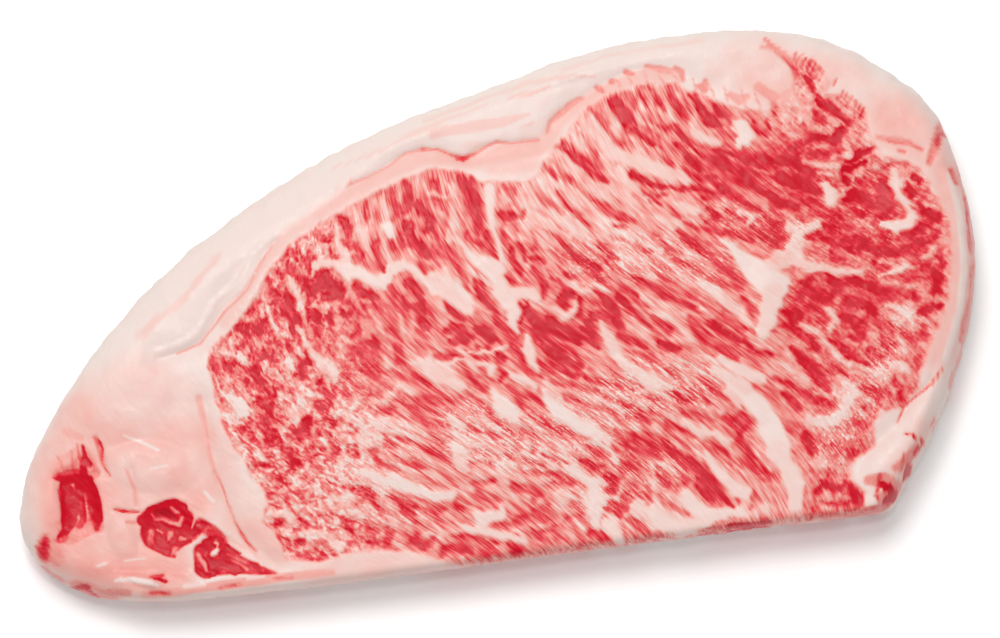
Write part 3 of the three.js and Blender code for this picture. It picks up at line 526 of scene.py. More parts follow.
    (89, (85, 45.6, 0.4), (86.4, 43, 0.7), (88, 41.4, 1)),
    (89, (88, 41.4, 1), (90.4, 39.6), (92.6, 37.4, 0.8), (93.4, 36, 0.4)),
    (77, (84.6, 40.6, 0.6), (86, 39, 1.2), (87.4, 37.6, 0.9)),
    (81, (84.4, 51, 1.3), (85.2, 44, 0.8)),
    (101, (84.6, 33.6, 0.7), (87, 33, 1), (88.6, 32, 0.8)),
    (101, (88.6, 32, 0.8), (90.6, 33.4, 1.3), (92, 34.6, 0.8), (91, 31.8)),
    (87, (77, 30.6, 0.5), (80, 31.4, 0.7), (83, 32.4)),
    (75, (84, 29.6, 0.4), (88, 29.4, 0.5), (91.4, 29.6, 0.4)),
    (99, (70, 30, 0.7), (75.6, 28.4, 1.3)),
    (99, (75.6, 28.4, 1.3), (78.6, 28, 1.4), (80.6, 26.6, 1), (84, 25.2, 0.5)),
    (94, (60.6, 32.6, 0.5), (63.6, 31.4, 0.8), (66.6, 29.6, 1), (69, 27.6), (71, 26.4, 0.8)),
    (96, (75, 24.6, 1.4), (77, 22.6, 1.6), (79.6, 23.6, 1.2), (82, 22.6, 1.1)),
    (89, (60.4, 30.4, 0.6), (62, 28.6, 0.9), (64, 27), (66.6, 25.6, 0.7)),
    (87, (66.6, 24, 0.8), (71.4, 20.6, 0.9)),
    (94, (72.4, 20, 1), (74, 18, 1.4), (76, 17.6, 1.3), (78.4, 16.6, 0.8)),
    (83, (80, 21, 1.3), (83, 20.6), (85, 19.6, 0.8)),
    (77, (78, 20, 0.8), (80.6, 18.4, 1), (83.6, 16.8, 0.9), (86.6, 15.4, 0.6)),
    (79, (60, 24, 0.8), (63, 22, 0.9), (68.4, 17, 0.7)),
    (75, (60.6, 18, 0.8), (63, 16.4, 0.9), (65.6, 14.6, 0.8)),
    (89, (70.4, 14.6, 0.8), (72, 13, 1.4), (74.4, 12), (71.6, 11, 1)),
    (77, (60, 12, 0.9), (66, 10, 0.8)),
    (83, (67, 12.6, 0.7), (69, 9.6, 1), (72, 8.6)),
    (69, (83.4, 14.6, 0.9), (86, 13.4, 1.2), (89, 13, 1)),
    (73, (80.6, 9, 1), (84, 10, 1.4), (88, 9.6), (91, 10.6, 1.1)),
    (106, (90, 24.6, 0.5), (92.4, 25, 0.7), (96.6, 26, 0.5)),
    (101, (90.6, 22.6, 1), (92, 21, 0.9)),
    (92, (92.6, 27, 0.8), (94.6, 28, 1), (97, 28.6, 0.8), (98.6, 29, 0.4)),
    (94, (91, 17.6, 1), (93, 19, 1.2), (95, 17.6, 1.3), (96.6, 15.6, 1.1)),
    (100, (100, 20.4, 1), (99.6, 17.6, 1.2), (100, 14.8, 1.3), (101, 13.4, 0.9)),
    (75, (92, 14, 0.8), (95, 13, 0.9), (98, 12.6, 0.8)),
    (73, (101.6, 21, 0.5), (101, 18.6), (102.4, 16.4), (104, 15, 0.4)),
    (100, (106, 18.4, 0.9), (107, 17, 1.2), (106.4, 19.6, 0.6)),
    (98, (108.6, 20.6, 1), (110, 19.6, 0.7)),
    (92, (108.6, 14.6, 0.6), (109.6, 12, 1), (111.6, 12, 1.2), (113, 10)),
    (87, (108.6, 9.6, 0.9), (110.6, 8.4)),
    (62, (100, 22.6, 0.3), (104, 25.2, 0.4), (107, 24.8, 0.25)),
    # right
    (79, (70, 10.6, 1.2), (73, 9.6), (75.6, 10.4, 0.8)),
    (70, (71.6, 7.4, 0.9), (74, 6.4), (72, 4.6, 0.6)),
    (75, (82, 9, 1.2), (88.6, 6, 1.6), (92, 4.6)),
    (58, (81.6, 5.6, 0.8), (85, 4.4), (88.6, 2.6, 0.9)),
    (81, (92.6, 7.6, 1), (95, 5, 1.4), (97.6, 3), (96, 1.6, 1)),
    (83, (98.6, 4.6, 1.4), (101, 2.6), (104, 3.4, 1.3)),
    (83, (104, 3.4, 1.3), (107, 4.6), (110, 5, 1.2), (112, 6.6)),
    (85, (105, 7.6, 1), (108, 8, 1.2), (111, 9.6), (113, 11, 1)),
    (91, (73, -8.6, 1), (75, -9.6, 1.8), (74.6, -12, 1.2)),
    (81, (76, -6, 1), (78, -4, 1.3), (79.6, -1.6, 1)),
    (75, (78, -9, 1), (80, -7, 1.2), (79.6, -4.6), (82, -5, 1)),
    (86, (84.4, -0.6, 0.7), (85.6, -2.6, 1.2), (87, -4.4), (84.6, -6), (82.6, -7.6, 0.8)),
    (83, (89, -3, 1.2), (91.6, -4, 1.4), (94.6, -5, 1.3), (97, -6.6, 1.2)),
    (81, (88, -8, 1.4), (91, -9, 1.6), (94, -9.6, 1.4), (93.6, -12)),
    (77, (86.6, -12, 1.2), (89, -13.6, 1.6), (91.6, -15.6, 1.4), (89, -17.6, 1.3)),
    (75, (95, -8.6, 0.9), (98.6, -7.6, 1), (102, -7.4), (105, -8.8, 0.8)),
    (81, (107, -1.6, 1), (110, -3, 1.4), (112, -5.4, 1.6), (110.6, -8, 1.3)),
    (79, (103, -4.4, 0.8), (106, -4.6, 1)),
    (85, (112.6, 1.6, 0.8), (113.6, -2, 0.7)),
    (88, (105.6, -12.4, 1), (108, -12, 1.3), (110.6, -11.4, 0.8)),
    (77, (70, -12.6, 0.5), (72.6, -12.4, 0.8), (75.6, -14.4, 1.2), (78, -17), (79.6, -19.4, 0.8)),
    (73, (79, -11, 0.7), (81.6, -12.6, 0.6)),
    (75, (81.6, -17, 0.6), (84, -18.6, 0.9), (89.6, -23.6, 1), (92, -25, 0.8)),
    (79, (73.6, -19, 0.8), (75.4, -21, 1.2), (77.4, -23.6, 1.4)),
    (79, (77.4, -23.6, 1.4), (79.6, -26.6), (81.4, -28.6, 1)),
    (73, (80.6, -22, 0.8), (83.6, -25, 1.2), (86, -26.6, 1.1)),
    (71, (68, -24.6, 0.6), (71, -26.6, 0.9), (73.6, -29, 1), (77, -31.6, 1.2)),
    (79, (70, -29.6, 0.8), (72, -31.4, 1.3), (73.6, -34, 1)),
    (75, (78.6, -31.6, 1.2), (81, -33.4, 1)),
    (68, (90, -29.6, 1.2), (92.6, -31.6, 1.4), (95.6, -32, 1.2)),
    (71, (97.6, -29, 1), (99.6, -31), (98, -33.4, 0.8)),
    (66, (85.6, -38.6, 1.3), (88.6, -40, 1.5), (91.6, -38, 1.4)),
    (66, (90, -35.6, 1.2), (93, -34.6, 0.9)),
    (79, (73.6, -39.6, 0.8), (74.6, -42, 1.3), (75.4, -44, 1.2)),
    (56, (78, -42, 1.2), (80.6, -45, 1.3), (83.6, -43, 1.2), (86, -45.6), (84.4, -47.8, 0.9)),
    (71, (95, -14, 1.2), (98, -16), (96, -19), (99, -20.6, 1)),
    (68, (101, -17, 1), (103.6, -18.6, 1.2), (106, -19.6, 1), (107, -16.6)),
    (75, (92.6, -20.6, 1.2), (95.6, -22.4, 1)),
    (56, (105, -22, 0.8), (103.6, -25, 0.7), (104.6, -27.6, 0.6)),
    (85, (75.6, -54, 0.8), (77.6, -52.6), (79.6, -54.4), (82, -54.4, 0.6)),
    (89, (82.6, -52, 0.5), (84, -54.6, 1), (85.6, -57.4, 1.2), (86.4, -59, 0.7)),
    (75, (74.4, -58.6, 0.6), (73.6, -60.4, 0.5)),
    (79, (76, -57, 0.4), (80, -57.4, 0.5), (83.6, -58.4)),
]

# Veins and islands of fat in the eye.
FAT_STROKES = [
    # broad ones, under the others
    (20, (-68.6, -13.6, 0.9), (-66.8, -17, 1.2)),
    (12, (-47.6, -1.4, 0.9), (-46.6, -4.4, 0.8), (-44.8, -7.6, 1), (-42.6, -10.6, 1.9)),
    (14, (-42, -11.4, 1.5), (-40.4, -14, 0.7)),
    (22, (-51.4, -9.2, 0.5), (-52, -12, 0.7)),
    (24, (-27.4, -9.6, 0.6), (-26.8, -12, 0.8)),
    (10, (-43.4, 12.4, 0.8), (-40.8, 15.6, 1.1), (-37.4, 14.6, 1.5), (-34.4, 12.4, 2)),
    (6, (-34.4, 12.4, 2), (-30, 10.4, 1.4), (-26, 8.8, 1.6), (-23.2, 11.6)),
    (8, (-23.2, 11.6, 1.6), (-19.6, 11.6, 1.3), (-16.8, 9, 1), (-13.6, 6, 1.6)),
    (5, (-13.6, 6, 1.6), (-9.4, 4.8, 2.3), (-6.4, 2.6, 1.7), (-5.2, -0.4, 0.8)),
    (12, (-10.5, 10.4, 0.9), (-9.8, 7, 1.4)),
    (14, (-36.4, 25, 0.5), (-36, 20, 0.9), (-35, 15.6, 1.2)),
    (18, (-7.4, 25.6, 0.7), (-7.4, 21, 1.2), (-8, 18, 1.5), (-5.4, 15.8, 0.8)),
    (20, (-12.4, 29.4, 0.9), (-7.4, 28.8, 0.5)),
    (5, (-4.6, 14.2, 0.8), (-2.6, 11.2, 1.4), (0.4, 8.8, 1.6), (2.2, 5.6, 1.4)),
    (7, (2.3, 29, 1.5), (2.1, 25, 1.1), (2.2, 21, 0.9), (2.8, 16.6, 0.6), (3.6, 11, 0.8)),
    (5, (-17.2, -11.8, 0.8), (-17, -14, 1.6), (-14.8, -16.6, 1.5), (-10.4, -18.6, 1.1)),
    (20, (-30.6, -26, 0.8), (-27, -26.8, 0.9), (-23, -27.8, 0.4)),
    (22, (-29, -21, 0.8), (-24.2, -17.8), (-22, -19.8)),
    (18, (-46.4, -42, 0.7), (-43.4, -43.6, 1), (-40.4, -46), (-37, -48.8, 0.8)),
    (17, (-59, -45.4, 1.2), (-56, -46, 1.6), (-54, -49, 1)),
    (16, (-57, -51, 0.8), (-50, -52, 0.9), (-46, -52.6, 1.2), (-44, -56.6)),
    (20, (-20, -52.4, 0.7), (-18.4, -54.6, 0.8), (-14, -55.6, 0.7)),
    (5, (60.6, 9, 0.8), (62.4, 6, 1.7), (68.4, -0.6, 3.4), (71.6, -2.4, 3)),
    (9, (70, -4.4, 2.8), (68, -9, 2.3), (66.6, -13.8, 1.8)),
    (14, (71, 3.4, 2.2), (75.6, 4.6, 2.6), (77.4, 9.4, 1.4), (83, 11.4, 0.9)),
    (8, (55.4, -19.4, 1.2), (60, -22.4, 1.8), (65, -25, 1.5)),
    (5, (57, -26.2, 1.4), (61, -29, 2.2), (64.4, -33, 2.4), (66, -38, 3.2), (67, -43.4, 2.8)),
    (8, (67, -43.4, 2.8), (69, -48, 2.2), (70.6, -52.6, 2.4), (69.8, -57.6, 1.8)),
    (18, (58, -54, 1.4), (57, -58, 0.9), (62.6, -58, 1.4)),
    # middle
    (13, (31.8, 37.6, 1.4), (34, 34.6, 1.6), (38, 33, 1.8), (42, 30.8, 1.9)),
    (13, (42, 30.8, 1.9), (46, 28.8, 1.8), (50, 27.2, 1.3), (52.4, 26.2, 0.6)),
    (14, (35.4, 31, 1.4), (36.6, 28, 1.2), (37.2, 25, 0.8)),
    (18, (44, 17.2, 0.9), (47, 14.4, 0.8)),
    (16, (50, 19.6, 1.1), (53.6, 18.2)),
    (20, (60, 10, 0.9)),
    (12, (54.5, 38.6, 0.8), (57, 36.6, 1.2), (60.5, 35, 1)),
    # left end and the upper left hump
    (20, (-56.6, 9, 0.5), (-55.4, 6, 0.6), (-54.8, 3, 0.5)),
    (14, (-49.2, 12, 0.7), (-48.2, 9, 0.9), (-47.2, 6, 0.8), (-46.5, 3, 0.5)),
    (18, (-30.6, 23, 0.7), (-29.4, 20, 0.8), (-29.6, 17.6, 0.6)),
    (4, (-24, 22.4, 1.6), (-23, 20, 1.2)),
    (18, (-25, 18.6, 0.5), (-23.4, 13.6, 0.6)),
    (30, (-42, 3, 0.2), (-38, 4.6, 0.25), (-34.4, 3.2, 0.2)),
    (22, (-22.8, 0, 0.6), (-22.4, -4, 0.7)),
    (26, (-19.6, -1.6, 0.5), (-19.4, -4, 0.6)),
    (30, (-30.8, -1.4, 0.7), (-28, -2.8, 1.1), (-27.4, -4.8, 0.6)),
    (20, (-68.4, -4, 0.5), (-66.4, -5.4, 0.6), (-63.6, -6.4, 0.8), (-61.6, -7, 0.6)),
    # lower left
    (5, (-65.2, -17.5, 1.7), (-64.4, -20, 1.5)),
    (20, (-61, -31.6, 1.7)),
    (16, (-52.6, -21, 1.4), (-50.6, -22.6, 1)),
    (16, (-38.6, -24.6, 0.9), (-37, -22, 1), (-35.6, -20.4, 0.8)),
    (14, (-34.8, -24.6, 0.9), (-34, -28.6, 0.8)),
    (22, (-45, -28.6, 0.7), (-44.4, -31, 0.5)),
    (6, (-36.6, -37.4, 0.9), (-34.6, -38, 1.1), (-31.6, -40.6, 1.2), (-28.6, -40.8, 1.7)),
    (6, (-28.6, -40.8, 1.7), (-21, -44.6, 1.1)),
    (6, (-21, -44.6, 1.1), (-18.6, -45.6, 1.2), (-14.6, -46, 1.4)),
    (12, (-19, -12, 1), (-13, -17, 2.2), (-10, -18.6, 1.6)),
    # the dark belt
    (10, (-14, 9, 1.6), (-11, 5.5, 2.2), (-8, 1, 1.8), (-5, -1, 1.2)),
    (8, (0, 11, 1.6), (2.6, 9)),
    (8, (2.6, 6, 1.5), (2.4, 2.8, 1.9), (4.4, 0, 2.2),
     (6, -2, 1.4), (4.6, -4.6, 1.5), (5.6, -7, 0.6)),
    (10, (7, 2.4, 1.8), (10, 2, 1.6), (12, 0.6, 1)),
    (20, (-8.4, -9, 0.8), (-7.6, -11.4, 0.9), (-6, -13.6, 0.8)),
    (3, (-6.6, -10.7, 0.25), (-3, -11.3, 0.3), (1, -11), (2.6, -10.4, 0.25)),
    (5, (-15.6, -12.6, 0.2), (-12.6, -13.4, 0.35), (-10, -12.9)),
    (5, (-10, -12.9, 0.35), (-7.4, -13.4, 0.3), (-5.4, -14.2, 0.2)),
    (10, (-4.6, -14.4, 0.6), (-1.4, -15, 0.8), (-2, -17, 0.9)),
    (10, (8, -9, 1), (7.6, -12, 1.6), (8.4, -15, 1.3), (9.4, -17.2, 0.6)),
    (14, (15.4, -2, 0.9), (17.6, -4, 1.2), (19.6, -3.4, 1.1), (21, -1.4, 0.6)),
    (14, (20.6, 3.4, 0.5), (22.4, 1.6, 0.7), (24.6, 1, 0.5)),
    (42, (15.6, -11, 0.3), (17.4, -13, 0.4), (18.8, -15.4, 0.35)),
    (45, (10.6, -10.6, 0.25), (11.4, -14, 0.3), (13, -17)),
    (12, (26.6, -7, 0.7), (27.6, -10, 1.3), (29, -13.4, 1.5), (30.6, -16.6, 1.4)),
    (12, (30.6, -16.6, 1.4), (32.6, -19.4, 1.3), (35.4, -21.4, 1.4)),
    (12, (35.4, -21.4, 1.4), (38.4, -23.6, 1.3), (40, -24.6, 0.8)),
    (28, (33.6, 3.4, 0.8), (37, 0.6, 1.1), (39.6, -2, 1)),
    (30, (34.4, -7, 0.4), (36.6, -9.6, 0.7), (39.4, -13, 0.9)),
    (8, (3.4, -17.6, 0.7), (6.4, -19.4, 0.9), (9, -21.4, 0.8)),
    (8, (-1.4, -22, 1), (-0.4, -24, 1.9), (1, -26.4, 2.2), (2.8, -28.6, 1.4)),
    (5, (11.2, -22.4, 0.7), (11.6, -25, 1.2), (14, -28, 1.6)),
    (5, (14, -28, 1.6), (17.4, -31, 1.5), (21, -33.6, 1.7), (24, -35.4, 1.2)),
    # lower middle
    (20, (-13, -27, 1), (-11, -30, 1.3), (-12.6, -32.6, 1.2)),
    (12, (-12.6, -34, 1.4), (-12, -37, 1.6), (-10.6, -39.4, 1.4)),
    (16, (12.6, -23, 0.9), (15, -24.6, 0.8)),
    (24, (17, -22.6, 0.4), (21, -24.4, 0.5), (25, -26.4, 0.4)),
    (24, (26, -24.6, 0.4), (30, -26, 0.5), (33, -27.4, 0.4)),
    (14, (22, -35.6, 1.2), (25, -36.6, 1)),
    (12, (25, -36, 0.9), (25.4, -38.4, 0.5), (26.6, -41.4, 0.8)),
    (7, (-8, -52.6, 2), (-4.6, -52, 1.6), (-2.6, -50.6, 1)),
    (8, (-12, -54.6, 1.1), (-8, -55.6, 1.2), (-4, -56.6, 1.1),
     (-0.6, -57.6, 0.8), (2, -58.4, 0.9)),
    (8, (15, -41.6, 1), (17.4, -44, 1.2), (20.4, -46.4)),
    (8, (20.4, -46.4, 1.2), (20, -50, 1.8), (20.4, -54, 2), (20.6, -56.6, 1.2)),
    (8, (23.6, -57.6, 1.8), (25.4, -60)),
    (20, (11, -48.6, 1.2), (13.6, -49.6)),
    (20, (36, -43.4, 0.5), (35.4, -46, 0.6), (34.8, -49, 0.5)),
    (7, (43, -51.6, 1.5), (44.2, -54.6, 1.8), (48.6, -57.8), (56, -57, 1.2)),
    (7, (34.2, -55.4, 1.2), (36.6, -58, 2.2), (41, -60, 1.9), (47, -59.4, 1.2)),
    # between the middle and the forked seam
    (24, (45.6, 4.4, 0.6), (49, 2, 0.9)),
    (12, (52, 0.6, 0.9), (55, -2, 1.3), (58.4, -5.4), (61.4, -8.6, 1.1), (63.6, -11.4, 0.7)),
    (22, (37, -1.6, 0.8), (40, -4.4, 1), (43, -7.6, 0.9)),
    (20, (43.6, -6.6, 0.8), (46, -10, 0.9), (48.4, -14)),
    (26, (51.6, -6.8, 0.8), (54, -8.6)),
    (26, (48.6, -15.6, 0.8), (51, -18.6, 0.9), (54, -20.6)),
    (14, (38, -22, 1.3), (41, -24.6, 1)),
    (10, (53.6, -22, 1.3), (57, -24, 1.5), (60.6, -26.6, 1.6)),
    (12, (56, -27.6, 1.2), (58.6, -30, 1.3)),
    (10, (44, -34.6, 0.6), (48, -36.6, 1), (52, -37.4, 1.1), (55, -39.6, 0.8)),
    (8, (49, -42, 0.8), (51, -45.6, 1.3), (53, -48.6, 1.6), (55.6, -51.6, 1.8), (58, -53, 1.6)),
    # upper right
    (5, (66.6, 39, 1.6), (67.6, 36, 1.9), (66, 34, 1.4)),
    (30, (85, 30.6, 0.5), (88, 31, 0.4)),
    (30, (93, 32, 1.2), (92, 28.6, 1), (89, 28, 0.7)),
    (20, (82, 27.6, 0.6), (86, 26.6, 1), (90, 25.8, 0.7)),
    (42, (70.6, 26.6, 0.5), (72.4, 25.6)),
    (42, (62, 31.6, 0.15), (70, 26.4)),
    (42, (73, 28.4, 0.12), (78, 25.6, 0.18)),
    (34, (66, 20.6, 0.6), (69, 19), (71, 17, 0.7)),
    (40, (73.4, 22.8, 0.25), (80, 19)),
    (40, (60, 21, 0.6), (63, 19)),
    (20, (64, 17, 0.7), (67, 15.6, 0.8), (66, 13, 0.6)),
    (15, (76, 11.6, 1.2), (79, 10.6, 1.4), (82, 11.6, 1.1)),
    (40, (76, 15.6, 1), (78, 13.6, 0.8)),
    (8, (86, 21.4, 1), (87.4, 19, 1.5), (87, 17, 1.2)),
    (30, (85, 24.4, 0.6), (88, 24, 0.7)),
    (15, (89, 17.4, 0.25), (91, 20, 0.3), (94, 23, 0.35), (97, 24.4), (100, 24.6, 0.4)),
    (10, (104, 22.4, 1), (103.4, 20, 1.3), (103.6, 17, 0.9)),
    (10, (103.6, 17, 0.9), (105, 14.6), (106, 12, 1.2), (105.4, 9.6, 1.3)),
    (30, (111, 15.6, 0.5), (113.4, 14, 0.8)),
    (15, (113.4, 17.6, 1.6), (117.4, 16, 1.1)),
    # right
    (12, (77, 3, 1.4), (80, 1.4), (83, 0.6, 1.2), (89, -0.4, 0.9), (92, -1.2, 0.7)),
    (8, (99, 10, 1.2), (102, 9.4, 1.6), (104.6, 9.6, 1.2)),
    (20, (108.6, 0.6, 0.9), (110.6, 2)),
    (6, (97, -3, 0.3), (100, -1.8, 0.5), (103, -1.2, 0.4), (106.6, -1.6, 0.3)),
    (26, (97.6, -3.6, 0.5), (101, -4.6, 0.8), (104, -5.8, 0.6)),
    (16, (83.6, -10, 0.8), (84.6, -12.6), (83, -14.6, 0.7)),
    (24, (98, -10, 0.8), (101, -11, 1), (103.6, -12.6, 0.8)),
    (22, (76, -12.6, 0.5), (79, -14.6, 0.8), (81.6, -17.6), (84, -21), (87.6, -23.6, 0.7)),
    (20, (87.6, -23.6, 0.7), (91, -26, 0.8), (95, -27.6, 0.9)),
    (24, (69, -20.6, 0.6), (72, -23, 0.9), (74.6, -25.6, 0.8), (76.4, -28, 0.7)),
    (24, (79, -20.6, 0.6), (85, -26.6), (87, -29.4, 0.9)),
    (12, (85, -33.6, 1.6), (87.6, -31.6, 1.3), (86, -29.6, 1)),
    (12, (76.6, -37, 1.6), (80, -37.6, 1.8), (82.6, -36, 1.3)),
    (20, (98.6, -13, 1), (101.6, -14.6)),
    (15, (98, -25.6, 1.4), (101, -26.6, 1.3)),
    (28, (104, -30, 1.2), (107, -26, 1.3), (109.6, -20, 1.4), (111.6, -14, 1)),
    (20, (76, -48, 1.1), (78.4, -48.4, 0.8)),
    (18, (94, -37, 1.2), (97.4, -38, 1)),
]

# Where white fat threads and painted glints lie in the eye: strokes with how many there are, in
# percent.
THREADED_AND_GLINTING = [
    (35, (-60, -5, 10), (-60, -30)),
    (45, (-35, -20, 12), (-30, -45, 10)),
    (90, (-10, -30, 8), (12, -36), (34, -24), (48, -24, 6)),
    (70, (24, 8, 6), (42, 8), (56, 4, 5)),
    (50, (20, -48, 8), (40, -44, 6)),
    (60, (60, 16, 5), (78, 10, 4)),
    (40, (96, 16, 6), (100, 0, 4)),
    (80, (88, -33, 5), (80, -44), (102, -14, 3)),
]

# The silverskin between the fat cap and the eye.
SILVERSKIN = [
    (12, (-66, 3, 1.6), (-58, 13), (-50, 22.4), (-40, 27.6)),
    (15, (-40, 27.6, 1.4), (-31, 32, 1.8), (-24, 34.6, 2), (-15, 38.4, 2.3), (-8, 38.4, 1.8)),
    (17, (-8, 38.4, 1.8), (-2, 36, 1.4), (6, 37.6, 2.3), (14, 37.6, 2.5), (18, 39.4, 2)),
    (15, (18, 39.4, 2), (21, 43.6, 1.8), (26, 47.6, 1.7), (33, 50.8), (44, 53.4, 1.9)),
    (15, (44, 53.4, 1.9), (52, 53, 1.6)),
    (14, (4, 34, 1.6), (14, 34)),
]

# The cap's folds, with painted shade in their creases, and its flecks of red.
CAP_STROKES = [
    # partly the fold's own pink-brown line, partly painted shade in the crease between the cap and the
    # eye
    (30, (-35, 33.4, 0.3), (-27, 35.4, 0.25), (-21, 38.2, 0.3), (-17.6, 40.4, 0.35), (-13, 41)),
    (48, (-13, 41, 0.35), (-9, 40.6, 0.3), (-6.6, 39.2), (-3.4, 37.6, 0.5), (0, 38.6, 0.4)),
    (62, (-4.6, 37.8, 0.45), (-3.2, 37.4, 0.6), (-2, 37.7, 0.3)),
    (34, (0, 38.6, 0.4), (3, 40.2), (5.6, 40.9, 0.45), (9, 40.2, 0.3), (16, 40.2)),
    (30, (18.4, 42, 0.4), (19.6, 44.6), (22, 46.8)),
    (30, (19.4, 44.4, 0.5), (21.6, 45.6, 0.6), (24.6, 48.2, 0.8),
     (27, 49.4, 0.7), (28, 49.6, 0.5)),
    (36, (31.8, 52, 0.5), (32.8, 51.2, 0.8), (33.4, 50.6, 0.5)),
    (34, (35.8, 53, 0.9)),
    (34, (39.6, 55, 0.8), (41.2, 54.4, 0.6)),
    (28, (44.8, 56, 0.6), (48.6, 54.8, 1), (50.6, 54, 0.8)),
    (32, (52, 54.6, 0.8), (53.4, 53.6), (53.6, 51.4, 0.6)),
    (32, (57.6, 49.4, 0.9), (58.6, 48.6, 1.2), (59, 50.6, 0.7)),
    (26, (64.8, 46.4, 0.9), (67, 44.8, 1.3), (69, 45.4, 0.9)),
    (42, (75.4, 43.4, 0.6), (76.4, 40.6, 0.7), (76.2, 38.4, 0.6)),
    (28, (72, 47.6, 1.2), (76, 44.6)),
    # fine red lines between the cap and the eye
    (34, (36.8, 54, 0.1), (37.8, 51.4, 0.2)),
    (34, (40, 54, 0.1), (40.8, 51.2, 0.2)),
    (30, (44, 54.6, 0.1), (44.8, 51.6, 0.2)),
    (34, (47.6, 54, 0.1), (48.6, 51, 0.2)),
    (34, (51.4, 53.4, 0.1), (52.4, 50.6, 0.2)),
    (36, (56, 51.6, 0.1), (56.6, 48.4, 0.2)),
    (36, (60, 49.6, 0.1), (61, 46.4, 0.2)),
    (34, (63.4, 48.8, 0.1), (64, 45, 0.2)),
    (34, (67.6, 47.6, 0.1), (68.4, 43, 0.2)),
    (36, (71, 46.4, 0.1), (72, 42.4, 0.2)),
    (34, (74, 46.8, 0.1), (74.8, 42.8, 0.2)),
    # the cap's folds
    (2, (-84, -4.2, 0.4), (-77, -2.2), (-72, 0.6, 0.5), (-67, 8)),
    (2, (-67, 8, 0.5), (-62, 11), (-58.4, 15.4), (-55, 21.6), (-48, 26.6, 0.4)),
    # partly the fold's own pink-brown line, partly painted shade in its crease
    (30, (-79, -3.6, 0.25), (-73, -1.6, 0.3), (-66, 5.6, 0.25)),
    (26, (-66, 5.6, 0.25), (-60, 10.4, 0.3), (-56.4, 16.4), (-53, 20.8, 0.25)),
    (12, (-88, 2, 1.2), (-76, 10, 1), (-66, 20, 0.8)),
    (10, (-36, 38.6, 0.6), (-24, 41.6), (-16, 44.6, 0.7), (-4, 48.4, 0.6), (4, 50.4, 0.4)),
    (12, (-12, 48, 0.5), (4, 52.4, 0.8), (16, 54.8, 0.7), (26, 55.4, 0.6), (32, 54.6, 0.4)),
    (13, (10, 51.6, 0.6), (15, 52, 0.8), (20, 53.4, 0.5)),
    (10, (24, 57.4, 0.7), (34, 59.4), (46, 60.6), (60, 60.8, 0.8)),
    (12, (-10, 44.4, 1.2), (0, 45.4, 1.4), (14, 45.6, 1.6)),
    (0, (-6, 42.6, 0.6), (2, 42.4), (8, 43.6), (18, 47, 0.7), (24, 51.4, 0.8)),
    # red veins and bruised combs in the upper right fat
    (26, (74, 57.6, 0.7), (77, 57, 0.8), (80, 54, 1)),
    (22, (84, 44.6, 2.2), (79, 44), (88, 46.4, 2)),
    (34, (75, 59.5, 0.5), (76.5, 57.5, 0.7), (79, 55, 0.8), (82, 51.5, 1.1), (84.5, 48, 1.2)),
    (36, (82, 53.6, 0.8), (85, 51.6, 1.3), (87.4, 49.4)),
    (60, (79, 54.6, 0.2), (80.6, 52.4, 0.35), (83, 50, 0.5)),
    (90, (83.6, 49, 0.5), (84.8, 47.6, 0.9), (85.4, 46.2, 0.6)),
    (76, (85.2, 46.6, 0.6), (85.8, 44.8, 0.5), (87, 43.2), (88.8, 42.2, 0.4)),
    (44, (82.4, 55.5, 0.2), (81, 53.2, 0.25)),
    (50, (83.6, 54.6, 0.2), (82, 52.2, 0.25)),
    (58, (84.7, 53.8, 0.25), (83.1, 51.4, 0.3)),
    (62, (85.8, 53, 0.25), (84.7, 50.5, 0.35)),
    (70, (86.7, 52, 0.3), (85.6, 49.6, 0.35)),
    (58, (87.8, 51, 0.3), (86.3, 48.2, 0.35)),
    (46, (88.3, 49.6, 0.25), (87.2, 47.7, 0.35)),
    (46, (91.4, 47.4, 0.3), (90.8, 46.2, 0.35)),
    (44, (81.6, 44.8, 0.2), (83.6, 44.4, 0.3)),
    (46, (83.4, 47, 0.3), (82.4, 46.2)),
    (30, (92.6, 43, 0.8), (95, 40.6, 1.1), (97, 38.4, 1)),
    (50, (92.8, 44.3, 0.2), (92.2, 43, 0.25)),
    (50, (93.6, 43.7, 0.2), (92.8, 42, 0.25)),
    (54, (94.9, 42.9, 0.2), (93.5, 40.5, 0.3)),
    (62, (95.8, 41.8, 0.25), (95, 39.6, 0.3)),
    (64, (96.7, 40.5, 0.25), (95.4, 38.6, 0.3)),
    (74, (97.4, 39.5, 0.25), (96.5, 37.2, 0.35)),
    (30, (100, 32, 0.6), (103, 31.2, 0.8), (108, 29.6)),
    (46, (102.6, 30.8, 0.3), (104.6, 30, 0.4), (107.6, 29.6), (110.8, 27.6)),
    (52, (100, 22.6, 0.3), (104, 25.2, 0.4), (107, 24.8, 0.25)),
    (40, (105, 28, 0.4), (106.6, 27.4)),
]
